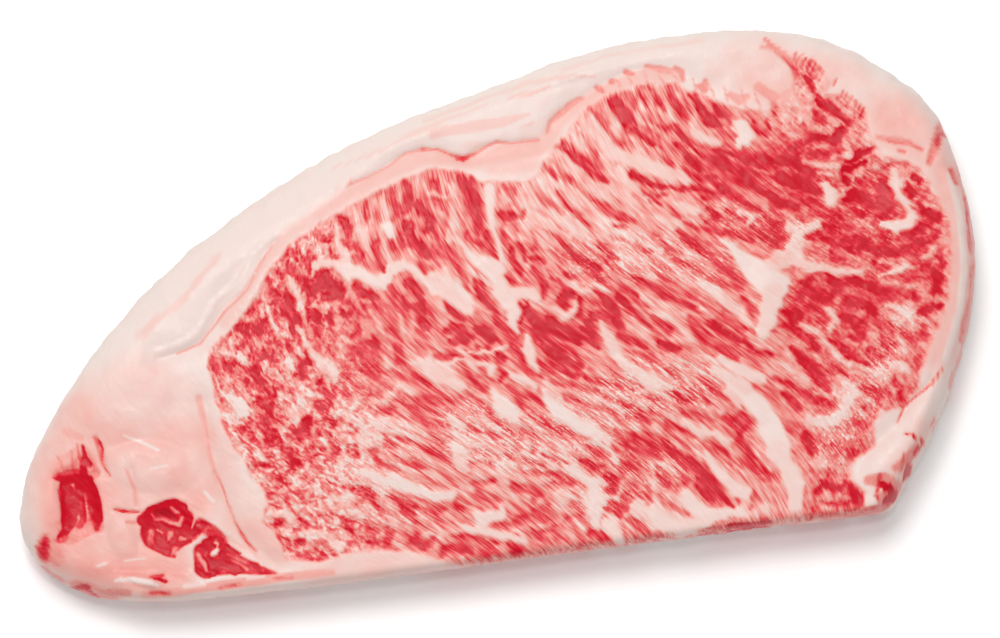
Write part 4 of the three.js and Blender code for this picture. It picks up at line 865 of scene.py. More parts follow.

# Muscles, slits and seams in the tail, with painted highlights on wet folds and painted shade in slits.
TAIL_STROKES = [
    # glow round the dark strip
    (24, (-111, -28, 1.6), (-108, -27.4, 2), (-105, -25.6), (-102.6, -28, 1.4)),
    (22, (-105, -22, 1), (-108.4, -20)),
    (36, (-111.6, -30.4, 1.3), (-107, -29.6, 1.6), (-104.4, -27), (-102.4, -31, 1.4)),
    (34, (-112, -43, 1.2), (-110, -46, 2.2), (-105.6, -44, 2.4), (-102.6, -44.6, 1.4)),
    (30, (-113.6, -47.6, 2), (-113.8, -51)),
    (46, (-116, -45.4, 0.9), (-116.8, -48, 1.9), (-117.2, -50, 1.5)),
    (44, (-110.8, -26.4, 0.1), (-110, -29.6, 0.3)),
    (44, (-107.6, -25, 0.1), (-107.4, -29.4, 0.35)),
    (50, (-106, -23.4, 0.1), (-105.6, -28, 0.3)),
    (42, (-102.4, -27.6, 0.1), (-102.4, -31.4, 0.3)),
    # dark strip
    (60, (-112.6, -30.8, 0.5), (-109, -30.4, 0.9), (-106.4, -30.4, 0.8)),
    (88, (-111.8, -31.2, 0.5), (-109.6, -31.9, 1), (-106.6, -32.2, 1.3), (-104.4, -32.8, 1.5)),
    (93, (-110, -33, 1.2), (-109.4, -35.6, 1.9), (-109.2, -39, 2.3), (-109.8, -42, 1.8)),
    (90, (-109.6, -42, 1.9), (-110.8, -44.4, 1.1), (-112.6, -46.4, 0.7)),
    (60, (-111.2, -46.4, 0.8), (-112.8, -46.8, 0.7)),
    (92, (-106.6, -33, 1.1), (-106.2, -41, 0.9)),
    (70, (-107.2, -43.4, 0.9), (-106.2, -42, 0.8)),
    (98, (-104.6, -24, 0.25), (-104.2, -27, 0.5), (-103.4, -28.6, 0.7)),
    (90, (-104.8, -27, 0.4), (-105, -31, 1)),
    (95, (-104.8, -32.6, 1.4), (-103.6, -35.4, 1.7), (-103, -39), (-102.8, -42.6, 1.4)),
    (106, (-110.8, -36, 0.3), (-110.4, -40, 0.5)),
    (106, (-103, -35.6, 0.3), (-102.4, -40, 0.4)),
    (86, (-102.8, -42.4, 1.3), (-103, -44.8, 0.6)),
    (74, (-106.6, -34.6, 0.15), (-106.6, -37.4, 0.3), (-106.2, -41.4, 0.35)),
    (70, (-104.8, -36.4, 0.1), (-104.6, -42.4, 0.25)),
    (72, (-111.4, -34, 0.3), (-111.2, -36.8)),
    (72, (-109.2, -36.6, 0.12), (-108.2, -38, 0.16), (-108.2, -40, 0.12)),
    (74, (-110.6, -38, 0.15), (-110, -40.6), (-110.8, -42.4, 0.2)),
    (78, (-116, -46.2, 0.6), (-116.8, -48, 1.1), (-117.4, -49.6, 1)),
    # slits: their dark lines are painted shade in the clefts
    (120, (-101.2, -22.2, 0.08), (-100.4, -23.6, 0.22), (-100, -25.2, 0.26), (-100.1, -28, 0.18)),
    (90, (-100.1, -28, 0.15), (-99.5, -30.4, 0.12), (-98.6, -32.2, 0.06)),
    (40, (-101.6, -22, 0.3), (-100.6, -25, 0.5), (-100.2, -29, 0.4)),
    (95, (-98.4, -40.4, 0.08), (-96.6, -41, 0.28), (-95, -41.4, 0.2), (-92.4, -41.6, 0.12)),
    (36, (-95.6, -44, 0.3), (-93.4, -44.2, 0.4)),
    # round muscle
    (78, (-91.6, -43.8, 1.5), (-88.6, -42.6, 2.1), (-84.4, -42.2, 2.9), (-81.4, -44.4, 2.3)),
    (78, (-90, -47.4, 2.6), (-85, -48.4, 3), (-82.4, -48.4, 2.6), (-86, -51.2, 2.2)),
    (92, (-92, -43.9, 0.8), (-89.4, -42.2, 1.4), (-86, -41.4, 1.7), (-83.4, -40.9, 1.5)),
    (92, (-83.4, -40.9, 1.5), (-81.4, -41.8, 1.2)),
    (108, (-87.8, -42.2, 0.9), (-85.4, -42.3, 1.2), (-84, -43.8, 0.7)),
    (90, (-91.4, -45.8, 0.9), (-88.6, -45.3, 1), (-86.4, -46, 1.2), (-83.6, -46.8, 1)),
    (90, (-83.6, -46.8, 1), (-80.8, -46.2, 1.1)),
    (88, (-91.4, -47.4, 0.7), (-91, -49.6, 0.8), (-86.8, -52.4, 0.7)),
    (92, (-88.4, -47.6, 1), (-88.2, -49.6, 0.9), (-86.8, -49.2)),
    (92, (-83, -48, 1), (-80.8, -48, 1.1), (-80.6, -50, 0.7),
     (-83.6, -50.6, 0.8), (-86, -50.8, 0.7)),
    (84, (-81.2, -43.6, 0.8), (-79.8, -44.6, 0.7), (-86.4, -53, 0.4), (-84.8, -53.6)),
    (40, (-89.2, -42.6, 0.2), (-88.6, -43.9, 0.28), (-86.4, -44.2, 0.25), (-84.8, -45.4, 0.35)),
    (30, (-84.8, -45.2, 0.4), (-82.8, -45.9, 0.6), (-82, -44.4, 0.4)),
    (44, (-84.2, -41.4, 0.4), (-83.4, -42.6, 0.5), (-82.6, -42.8, 0.3)),
    (46, (-89.8, -46.8, 0.7), (-90.2, -48.6), (-89.6, -49.8, 0.4)),
    (16, (-88.4, -46.5, 0.18), (-86.9, -47.6, 0.22)),
    (34, (-84.9, -47.9, 0.8), (-85.6, -49.2, 0.5)),
    (36, (-82.7, -49.4, 0.7), (-81.6, -49.6, 0.4)),
    (36, (-84.4, -51.6, 0.7), (-85, -53, 0.4)),
    # pointed muscle
    (62, (-79.4, -49.2, 0.9), (-77.4, -46.4, 1.6), (-74.8, -48.6, 1.7), (-72.2, -51, 1.2)),
    (74, (-77.8, -53, 2), (-77.6, -57.4, 2.2), (-71, -56.6, 2.8),
     (-66, -58.6, 1.5), (-60.4, -60.6, 0.4)),
    (90, (-79.4, -48.6, 0.8), (-78, -46.8, 1.1), (-76.6, -46.4, 0.9), (-78, -48.2, 0.8)),
    (96, (-76.9, -51, 0.8), (-75.4, -50.6, 0.9), (-76.2, -52.6, 1), (-74.6, -52.2, 0.6)),
    (84, (-74.2, -50.2, 0.5), (-72.6, -51, 0.6), (-73.2, -52.6, 0.5)),
    (104, (-76.4, -55, 0.7), (-75.2, -56.6, 1.5), (-74.2, -57, 1.4), (-75.6, -58.7, 0.9)),
    (98, (-73, -54.2, 0.7), (-71.6, -52.9, 1), (-70, -53.7, 0.5), (-68.4, -54.7, 0.2)),
    (92, (-72.6, -55.6, 0.9), (-71.4, -57.4, 1.2), (-70, -58.8, 1.1), (-68.4, -58.6, 0.7)),
    (90, (-66.4, -57.4, 0.7), (-64.8, -58), (-64.2, -59.6, 0.5)),
    (66, (-63, -59, 0.4), (-59.8, -60.6, 0.2)),
    (94, (-79.4, -55.8, 0.3), (-79, -57.6, 0.8), (-77.6, -59), (-76.4, -59.4, 0.4)),
    (28, (-78.7, -53.8, 0.5), (-78.2, -55.2), (-77.4, -56.2, 0.6), (-77.1, -58, 0.25)),
    (30, (-71.6, -54.4, 0.15), (-66.6, -57.4, 0.18)),
    (32, (-70.6, -56, 0.15), (-68.4, -57.4, 0.25), (-67, -58.8, 0.5)),
    # a painted highlight: the whitish glints along a wet streak
    (16, (-70.8, -50.6, 0.6), (-69, -52.4, 0.5), (-66.4, -53.4, 0.6), (-63.6, -56.2, 0.4)),
    # painted highlights: glints on the wet folds
    (0, (-94, -22.4, 0.2), (-90, -24.6, 0.35), (-86, -27)),
    (2, (-88, -31.6, 0.25), (-84, -31)),
    (2, (-75.6, -38.6, 0.4), (-73.6, -41)),
    (4, (-104, -54, 0.3), (-101.6, -53.6, 0.4)),
    (4, (-97, -53.4, 0.2), (-92, -53.4)),
    # seams and folds
    (46, (-72.6, -34, 0.16), (-71, -38, 0.2), (-70.2, -42, 0.16), (-69, -46)),
    (62, (-69, -46.6, 0.16), (-67.6, -49.8, 0.32), (-66.4, -52, 0.28), (-64.4, -54.4, 0.2)),
    (19, (-74.8, -15, 0.9), (-74, -22, 0.8), (-73.6, -29), (-72.6, -34, 0.6)),
    (30, (-74.4, -17, 0.1), (-73.8, -22, 0.15), (-73.4, -29), (-72.6, -34)),
    (26, (-94.4, -31, 0.3), (-92.8, -36, 0.4), (-92.8, -40, 0.3)),
    # a painted highlight along the wet bead of a fold
    (0, (-99.4, -57.9, 0.4), (-95, -58.4, 0.6), (-91.4, -59.4, 0.55), (-89.4, -60.4, 0.3)),
    # painted shade in the slit at the bead's end
    (115, (-90.2, -58.5, 0.12), (-88.8, -58.8, 0.34), (-87.4, -59.6, 0.38)),
    (60, (-91, -58, 0.3), (-88, -58, 0.4)),
    # lower rim
    (34, (-117.6, -52.6, 0.7), (-113, -57, 1.1), (-106, -60, 1.2), (-97, -61.4, 0.9)),
    (80, (-110.6, -57.8, 0.3), (-109.2, -58.6, 0.6), (-107.4, -59, 0.5), (-105.8, -59.9, 0.3)),
    (24, (-93, -61.9, 0.9), (-84, -62.2), (-70, -61.8, 1.1), (-58, -61.6, 1), (-46, -61.6, 0.7)),
    (52, (-91.6, -62, 0.5), (-87, -62.6)),
    (44, (-74, -62.4, 0.4), (-69, -62.2, 0.5)),
    (40, (-61, -61.8, 0.4), (-56, -62)),
    (8, (-83, -61.4, 0.5), (-78, -61.2, 0.6)),
    (8, (-67, -61, 0.5), (-63, -61, 0.4)),
]

# The corner, the rind and the rim of the thick end.
RIM_STROKES = [
    (80, (53, -61, 0.9), (58, -61, 0.8), (63, -60.8, 0.5)),
    (50, (47, -61.2, 0.8), (50, -61, 0.9)),
    (34, (88.4, -53, 1.2), (92, -53.4, 2), (95.6, -55.4, 1.6), (92, -57.8, 1.8)),
    (95, (91, -54, 0.7), (93.4, -55.6, 1.1), (94.6, -57.6, 0.9), (92.4, -58.4, 0.8)),
    (66, (91.4, -52, 0.4), (90.2, -56), (90.4, -57.8)),
    (36, (95.4, -50.6, 0.9), (98.6, -48.6, 1.2), (101, -46, 0.9)),
    (92, (97.6, -53.4, 0.7), (99, -50.4, 0.9), (100.6, -51.6, 0.7)),
    (80, (100.6, -47.6, 0.5), (102, -46)),
    (55, (96.6, -51.6, 0.2), (97.8, -47.6, 0.25)),
    (44, (75, -60, 0.8), (86, -60.4, 0.9), (93, -59.6, 0.6)),
    (60, (110, -27, 0.15), (107, -30.4, 0.25), (99, -35.8), (97.4, -39.4, 0.15)),
    (95, (98.8, -42.2, 0.15), (101, -43.4, 0.25), (103.4, -45, 0.2)),
    (28, (120.2, 24, 1.4), (122, 10, 1.7), (121.4, -3), (118.4, -16, 1.6), (112.8, -31, 1.3)),
    (5, (117, 21, 0.7), (118.4, 10, 0.8), (118, -3, 0.9), (115.4, -14), (111, -25)),
    (40, (120.4, -3, 0.7), (119, -9.6), (115.4, -20.4, 0.6)),
    (36, (106, -41.4, 0.8), (107.4, -39.4, 0.6)),
    (52, (120.6, 14, 0.7), (120.8, 10, 0.6), (120.8, 5, 0.8), (120.4, 1, 0.5)),
    (72, (121, 13.8, 0.4), (121, 5.8)),
    (40, (116.4, 33, 1.2), (114.6, 29, 1.3), (112.4, 24.4, 0.8)),
    (62, (117.6, 31.8, 0.5), (115.8, 31.2, 0.6), (115, 28.4)),
    (50, (117.6, 22, 0.6), (118.6, 18.8, 0.7)),
]

# Fine relief of the dressed face: points, width, and how far it rises.
CREASES = [
    ([(-84, -4.6), (-74, -1.8), (-69, 3), (-66, 6.8), (-60, 11), (-56, 17.4), (-52, 22)], 0.8, -0.5),
    ([(-84, -2.6), (-75, 0), (-70.6, 5), (-67.6, 9), (-61.8, 13), (-57.4, 19.6), (-51, 25)], 0.9, 0.45),
    ([(-40, 31), (-27, 35.6), (-17, 40.4), (-9, 40.6), (-3.4, 37.6), (3, 40.2), (16, 40.3)], 0.7, -0.5),
    ([(18.4, 42), (21, 46), (28, 50), (40, 55), (48, 55)], 0.9, -0.35),
    ([(-13, 47), (4, 51.4), (16, 53.6), (28, 54)], 1.4, -0.35),
    ([(-30, 42), (-14, 46.4), (0, 50), (12, 53)], 1.2, 0.3),
    ([(10, 57), (30, 60), (50, 61)], 1.2, -0.25),
    ([(-101, -22), (-100, -26), (-99, -32)], 0.5, -0.5),
    ([(-98, -40.6), (-95, -41.4), (-92, -41.8)], 0.5, -0.5),
    ([(-99.4, -58.2), (-95, -58.6), (-91, -59.8)], 1.0, 0.8),
    ([(-99, -56.4), (-94, -56.6), (-88, -58.6)], 0.7, -0.6),
    ([(-72.6, -34), (-70.4, -42), (-67.6, -50), (-64.4, -54.6)], 0.6, -0.5),
    ([(-93, -31), (-92.6, -40)], 0.8, -0.4),
    ([(110, -27), (103, -33), (97.4, -39.4)], 0.7, -0.5),
    ([(98.8, -42.2), (103.4, -45)], 0.6, -0.5),
    ([(119.6, 16), (119.8, 4), (117.4, -8), (112, -22)], 1.1, -0.4),
]

GROUND_SOFT = 4.0  # how softly a ground tone ends
STROKE_SOFT = 0.6  # how softly a stroke ends
FINE_SOFT = 0.32  # and a fine stroke outside the eye
SILVERSKIN_SOFT = 1.3  # and the silverskin
EYE_SOFT = 0.7  # and the border of the eye

# Directions of the muscle fibres, in degrees, at places on the face.
FIBRES = [
    (-64, -5, -62), (-40, 20, -68), (-15, 25, -78), (-5, 5, -62), (-55, -30, -40),
    (-40, -48, -30), (-20, -30, -27), (0, -38, -30), (-15, -10, -50), (20, 22, -55),
    (20, -10, -58), (20, -28, -38), (38, 42, -66), (55, 40, -78), (45, 0, -42), (45, -40, -48),
    (80, 25, -25), (75, 10, -50), (90, -10, -48), (80, -45, -65), (108, 5, -30),
]
STREAK_LENGTH = 7.0
STREAK_WIDTH = 1.5
STREAK_HEIGHT = 9.0
COMB_LENGTH = 0.8  # how far the fibres pull the strokes' edges about
WARP = 0.45  # how far the strokes' edges wander in any direction
WARP_SIZE = 3.2  # and how long one such wander is
DEPTH_LEAN = 0.35  # how far the pattern slides for each millimetre down through the meat
SLIDE = (0.5, 0.3)  # which way it slides

# How the tone of the walls changes: where, counted down from the plain face, and how much.
SLIDE_DEPTHS = (3, 22)
FAT_DEPTHS = (2, 9)
LEAN_DEPTHS = (2, 8)
FRAYED_DEPTHS = (1, 6)
FOOT_DEPTHS = (18, 21)  # where the walls turn under and the changes end
WALL_FAT = 0.1  # the tone that the fat nears
WALL_FAT_SHARE = 0.8
WALL_LEAN_LOSS = 0.4

# ---- resolution ----

TAIL_END = -58.0  # where the tail's small muscles end
TAIL_FINENESS = 0.75  # spacing of the face's points in the tail, as a share of the others'
SPAN_STEPS = 40  # pieces that each span of the outline is measured with
SEAM_STEPS = 8  # and each span of a seam
RIM_STEPS = 330  # and the rim, to tell which points lie inside it
AROUND = 660  # points in each ring of the wall
LOWER_WALL_RINGS = 8
UPPER_WALL_RINGS = 13
NOISE_CELLS = 32  # after which the noise repeats

# The texture map, which is 1 wide: its empty edge, where its parts begin from below, and how
# much of it a millimetre takes up.
MAP_EDGE = 0.004
MAP_FACE = (0.004, 0.00428)
MAP_STRIPS = (0.525, 0.115)
MAP_BACK = (0.755, 0.00195)


# ---- curves and distances ----


def hermite(starts, ends, leave, arrive, steps):
    """Points of cubic spans, without the last span's end."""
    t = (np.arange(steps) / steps)[None, :, None]
    a, b, m, n = (side[:, None, :] for side in (starts, ends, leave, arrive))
    curve = a + m * t + (3 * (b - a) - 2 * m - n) * t**2 + (2 * (a - b) + m + n) * t**3
    return curve.reshape(-1, 2)


def centripetal_loop(points, steps):
    """A smooth closed curve through points, as three.js draws a closed centripetal one."""
    p0, p1, p2, p3 = (np.roll(points, shift, axis=0) for shift in (1, 0, -1, -2))
    runs = (p1 - p0, p2 - p1, p3 - p2)
    d0, d1, d2 = (np.linalg.norm(run, axis=1)[:, None] ** 0.5 for run in runs)
    leave = ((p1 - p0) / d0 - (p2 - p0) / (d0 + d1) + (p2 - p1) / d1) * d1
    arrive = ((p2 - p1) / d1 - (p3 - p1) / (d1 + d2) + (p3 - p2) / d2) * d1
    return hermite(p1, p2, leave, arrive, steps)


def open_spline(points, steps):
    """A smooth open curve through points."""
    points = np.array(points, float)
    padded = np.vstack([points[:1], points, points[-1:]])
    p0, p1, p2, p3 = (padded[k : len(padded) - 3 + k] for k in range(4))
    return np.vstack([hermite(p1, p2, (p2 - p0) / 2, (p3 - p1) / 2, steps), points[-1:]])


def distance_to_line(points, line):
    """Distance from each point to the nearest part of an open line."""
    least = np.full(len(points), np.inf)
    for a, b in zip(line[:-1], line[1:]):
        run = b - a
        share = np.clip((points - a) @ run / (run @ run), 0, 1)
        least = np.minimum(least, np.linalg.norm(points - a - share[:, None] * run, axis=1))
    return least


def signed_distance(points, loop):
    """Distance to a closed line, less than nothing inside it."""
    inside = np.zeros(len(points), bool)
    x, y = points.T
    closed = np.vstack([loop, loop[:1]])
    for a, b in zip(closed[:-1], closed[1:]):
        if a[1] != b[1]:
            crossing = a[0] + (y - a[1]) * (b[0] - a[0]) / (b[1] - a[1])
            inside ^= ((a[1] > y) != (b[1] > y)) & (x < crossing)
    return distance_to_line(points, closed) * np.where(inside, -1, 1)


def smoothstep(low, high, value):
    t = np.clip((value - low) / (high - low), 0, 1)
    return t * t * (3 - 2 * t)


def soft_noise(points, seed):
    """Noise from -1 to 1 whose swells are about one unit long."""
    lattice = np.random.default_rng(seed).uniform(-1, 1, (NOISE_CELLS,) * 3)
    cell = np.floor(points).astype(int)
    t = points - cell
    t = t * t * (3 - 2 * t)
    total = np.zeros(len(points))
    for corner in itertools.product((0, 1), repeat=3):
        weight = np.prod(np.where(corner, t, 1 - t), axis=1)
        total += weight * lattice[tuple(((cell + corner) % NOISE_CELLS).T)]
    return total


# ---- form ----


def lobe_height(points, middle, radii, turn, height):
    """How far one swelling or hollow of the upper face lifts each point."""
    c, s = math.cos(math.radians(turn)), math.sin(math.radians(turn))
    off = points - middle
    along = (off[:, 0] * c + off[:, 1] * s) / radii[0]
    across = (off[:, 1] * c - off[:, 0] * s) / radii[1]
    inside = np.maximum(0, 1 - along**2 - across**2)
    return height * inside**2 * (3 - 2 * inside)


def face_height(points):
    """Height of the upper face, with its swellings, hollows and seams."""
    z = THICKNESS + TAPER * points[:, 0]
    for middle, radii, turn, height in LOBES:
        z = z + lobe_height(points, middle, radii, turn, height)
    for line, width, depth in SEAMS:
        off = distance_to_line(points, open_spline(line, SEAM_STEPS)) / width
        z = z - depth * np.exp(-(off**2))
    return z


def outline_stations():
    """Evenly spaced points of the outline, their ways inwards, and their edge sizes."""
    loop = centripetal_loop(np.array([place[:2] for place in OUTLINE], float), SPAN_STEPS)
    closed = np.vstack([loop, loop[:1]])
    lengths = np.concatenate([[0], np.cumsum(np.linalg.norm(np.diff(closed, axis=0), axis=1))])
    wanted = np.arange(AROUND) / AROUND * lengths[-1]
    point = np.stack([np.interp(wanted, lengths, closed[:, axis]) for axis in (0, 1)], axis=1)
    spans = np.interp(wanted, lengths, np.arange(len(closed)) / SPAN_STEPS)
    edges = np.array([place[2] for place in OUTLINE])
    before = spans.astype(int) % len(OUTLINE)
    share = smoothstep(0, 1, spans % 1)[:, None]
    edge = edges[before] * (1 - share) + edges[(before + 1) % len(OUTLINE)] * share
    run = SPINE[1] - SPINE[0]
    share = np.clip((point - SPINE[0]) @ run / (run @ run), 0, 1)
    inwards = SPINE[0] + share[:, None] * run - point
    return point, inwards / np.linalg.norm(inwards, axis=1)[:, None], edge


def wall_ring(point, inwards, inset, square, turn, low, high):
    """One ring of the wall, where a rounded edge has turned that far from its widest point."""
    out = abs(math.cos(turn)) ** (2 / square)
    rise = math.sin(turn) ** (2 / square)
    place = point + inwards * (inset * (1 - out))[:, None]
    return np.column_stack([place, low + (high - low) * rise])


def wall_rings():
    """Rings from the resting face up to the rim of the upper face, and each one's skin."""
    point, inwards, edge = outline_stations()
    shoulder, square, widest, toe, skin = edge.T
    rings, skins = [], []
    for step in range(LOWER_WALL_RINGS):
        turn = math.pi / 2 * (1 - step / LOWER_WALL_RINGS)
        rings.append(wall_ring(point, inwards, toe, 2, turn, widest, 0))
        skins.append(skin * min(1, 3 * step / LOWER_WALL_RINGS))
    top = face_height(point + inwards * shoulder[:, None])
    for step in range(UPPER_WALL_RINGS + 1):
        turn = math.pi / 2 * step / UPPER_WALL_RINGS
        rings.append(wall_ring(point, inwards, shoulder, square, turn, widest, top))
        skins.append(skin * (1 - step / UPPER_WALL_RINGS) ** 0.7)
    return rings, skins


def lattice_inside(loop, spacing):
    """Points of a triangular lattice inside a closed line, clear of it by half a step."""
    low, high = loop.min(0), loop.max(0)
    rows = np.arange(low[1], high[1], spacing * math.sqrt(3) / 2)
    columns = np.arange(low[0], high[0], spacing)
    x, y = np.meshgrid(columns, rows)
    x = x + (np.arange(len(rows)) % 2)[:, None] * spacing / 2
    points = np.column_stack([x.ravel(), y.ravel()])
    return points[signed_distance(points, loop[:: max(1, len(loop) // RIM_STEPS)]) < -spacing / 2]


def fill(loop, spacing, fine=1.0):
    """Triangles over a closed line and a lattice inside it. The loop's points come first."""
    inner = lattice_inside(loop, spacing)
    if fine < 1:
        tail = lattice_inside(loop, spacing * fine)
        beyond = inner[:, 0] > TAIL_END + spacing / 2
        inner = np.vstack([inner[beyond], tail[tail[:, 0] < TAIL_END]])
    points = np.vstack([loop, inner])
    rim = [(i, (i + 1) % len(loop)) for i in range(len(loop))]
    triangles = delaunay_2d_cdt([Vector(p) for p in points], rim, [], 1, 1e-6)[2]
    return inner, np.array(triangles)


def wall_places(wall):
    """Places on the map for the corners of the wall's triangles, which lie in two strips."""
    climb = np.linalg.norm(np.diff(wall, axis=0), axis=2).cumsum(0)
    height = np.vstack([np.zeros((1, AROUND)), climb])
    station = np.arange(AROUND)
    half = AROUND // 2
    stride = (1 - 2 * MAP_EDGE) / half
    around = np.linalg.norm(wall[0] - np.roll(wall[0], 1, axis=0), axis=1).mean()
    strip = MAP_STRIPS[0] + station // half * MAP_STRIPS[1]
    places = []
    for ring in range(len(wall) - 1):
        for corners in (((0, 0), (1, 0), (1, 1)), ((0, 0), (1, 1), (0, 1))):
            for step, rise in corners:
                u = MAP_EDGE + (station % half + step) * stride
                v = height[ring + rise, (station + step) % AROUND] * stride / around
                places.append(np.column_stack([u, v + strip]))
    return np.array(places).reshape(-1, 3, AROUND, 2).transpose(0, 2, 1, 3).reshape(-1, 3, 2)


def flat_places(corners, lower, scale, turned):
    """Places on the map for triangles seen from above, or from below if they are turned."""
    flat = corners[:, :, :2] * (-1 if turned else 1, 1)
    return (flat - flat.min((0, 1))) * scale + (MAP_EDGE, lower)


def steak_surface(face_spacing, back_spacing):
    """The closed skin of the steak: points, triangles, their places on the map, skin, freedom."""
    rings, skins = wall_rings()
    wall = np.vstack(rings)
    quads = []
    for ring in range(len(rings) - 1):
        a = ring * AROUND + np.arange(AROUND)
        b = ring * AROUND + (np.arange(AROUND) + 1) % AROUND
        quads += [np.column_stack([a, b, b + AROUND]), np.column_stack([a, b + AROUND, a + AROUND])]
    inner, face = fill(rings[-1][:, :2], face_spacing, TAIL_FINENESS)
    under, back = fill(rings[0][:, :2], back_spacing)
    first_face, first_back = len(wall), len(wall) + len(inner)
    rim = len(wall) - AROUND
    face = np.where(face < AROUND, face + rim, face - AROUND + first_face)
    back = np.where(back < AROUND, back, back - AROUND + first_back)[:, ::-1]
    upper = np.column_stack([inner, face_height(inner)])
    for line, width, rise in CREASES:
        off = distance_to_line(inner, open_spline(line, SEAM_STEPS)) / width
        upper[:, 2] += rise * np.exp(-(off**2))
    lower = np.column_stack([under, np.zeros(len(under))])
    points = np.vstack([wall, upper, lower])
    places = [wall_places(np.array(rings))]
    places.append(flat_places(points[face], MAP_FACE[0], MAP_FACE[1], False))
    places.append(flat_places(points[back], MAP_BACK[0], MAP_BACK[1], True))
    skin = np.concatenate([np.concatenate(skins), np.zeros(len(inner) + len(under))])
    free = smoothstep(0.2, 4, points[:, 2])
    return points, np.vstack(quads + [face, back]), np.vstack(places), skin, free


# ---- painting ----


def fibre_directions():
    """The fibres' listed directions as unit vectors, and where they are."""
    places = np.array(FIBRES, float)
    angles = np.radians(places[:, 2])
    return places[:, :2], np.column_stack([np.cos(angles), np.sin(angles)])


def cubic_terms(points):
    """The terms of a cubic in x and y without a constant, and their slopes in x and in y."""
    x, y = points.T / 100
    none = np.zeros(len(points))
    one = none + 1
    terms = [x, y, x * x, x * y, y * y, x**3, x * x * y, x * y * y, y**3]
    slope_x = [one, none, 2 * x, y, none, 3 * x * x, 2 * x * y, y * y, none]
    slope_y = [none, one, none, x, 2 * y, none, x * x, 2 * x * y, 3 * y * y]
    return (np.column_stack(columns) for columns in (terms, slope_x, slope_y))


def grain_coordinates(points):
    """Millimetres along and across the fibres: cubics whose slopes follow the listed ones."""
    places, along = fibre_directions()
    across = np.column_stack([-along[:, 1], along[:, 0]])
    _, slope_x, slope_y = cubic_terms(places)
    terms, _, _ = cubic_terms(points)
    slopes = np.vstack([slope_x, slope_y]) / 100
    fits = [np.linalg.lstsq(slopes, way.T.ravel(), rcond=None)[0] for way in (along, across)]
    return np.column_stack([terms @ fit for fit in fits])


def local_fibre(points):
    """The fibre direction at each point: the listed ones weighed by nearness."""
    places, along = fibre_directions()
    nearness = 1 / (((points[:, None] - places) ** 2).sum(2) + 60)
    mean = nearness**1.5 @ along
    return mean / np.linalg.norm(mean, axis=1)[:, None]


def full_dabs(dabs):
    """A stroke's dabs as rows of x, y and radius."""
    rows = []
    for x, y, *radius in dabs:
        rows.append((x, y, radius[0] if radius else rows[-1][2]))
    return np.array(rows, float)


def stroke_distance(points, dabs):
    """How far points lie outside a stroke of changing radius."""
    outside = np.linalg.norm(points - dabs[0, :2], axis=1) - dabs[0, 2]
    for a, b in zip(dabs[:-1], dabs[1:]):
        run = b[:2] - a[:2]
        share = np.clip((points - a[:2]) @ run / (run @ run), 0, 1)
        off = np.linalg.norm(points - a[:2] - share[:, None] * run, axis=1)
        outside = np.minimum(outside, off - (a[2] + share * (b[2] - a[2])))
    return outside


def paint(tone, points, strokes, soft):
    """Lays strokes over a tone, one after the other."""
    for percent, *dabs in strokes:
        dabs = full_dabs(dabs)
        reach = dabs[:, 2].max() + soft
        low, high = dabs[:, :2].min(0) - reach, dabs[:, :2].max(0) + reach
        near = np.flatnonzero(np.all((points > low) & (points < high), axis=1))
        cover = 1 - smoothstep(-soft, soft, stroke_distance(points[near], dabs))
        tone[near] += (percent / 100 - tone[near]) * cover


def lacy_share(points):
    """Where the marbling is a lace of flecks instead of streaks along the fibres, 0 to 1."""
    left = 1 - smoothstep(-45, -22, points[:, 0])
    right = 0.5 * smoothstep(60, 85, points[:, 0])
    return left + right


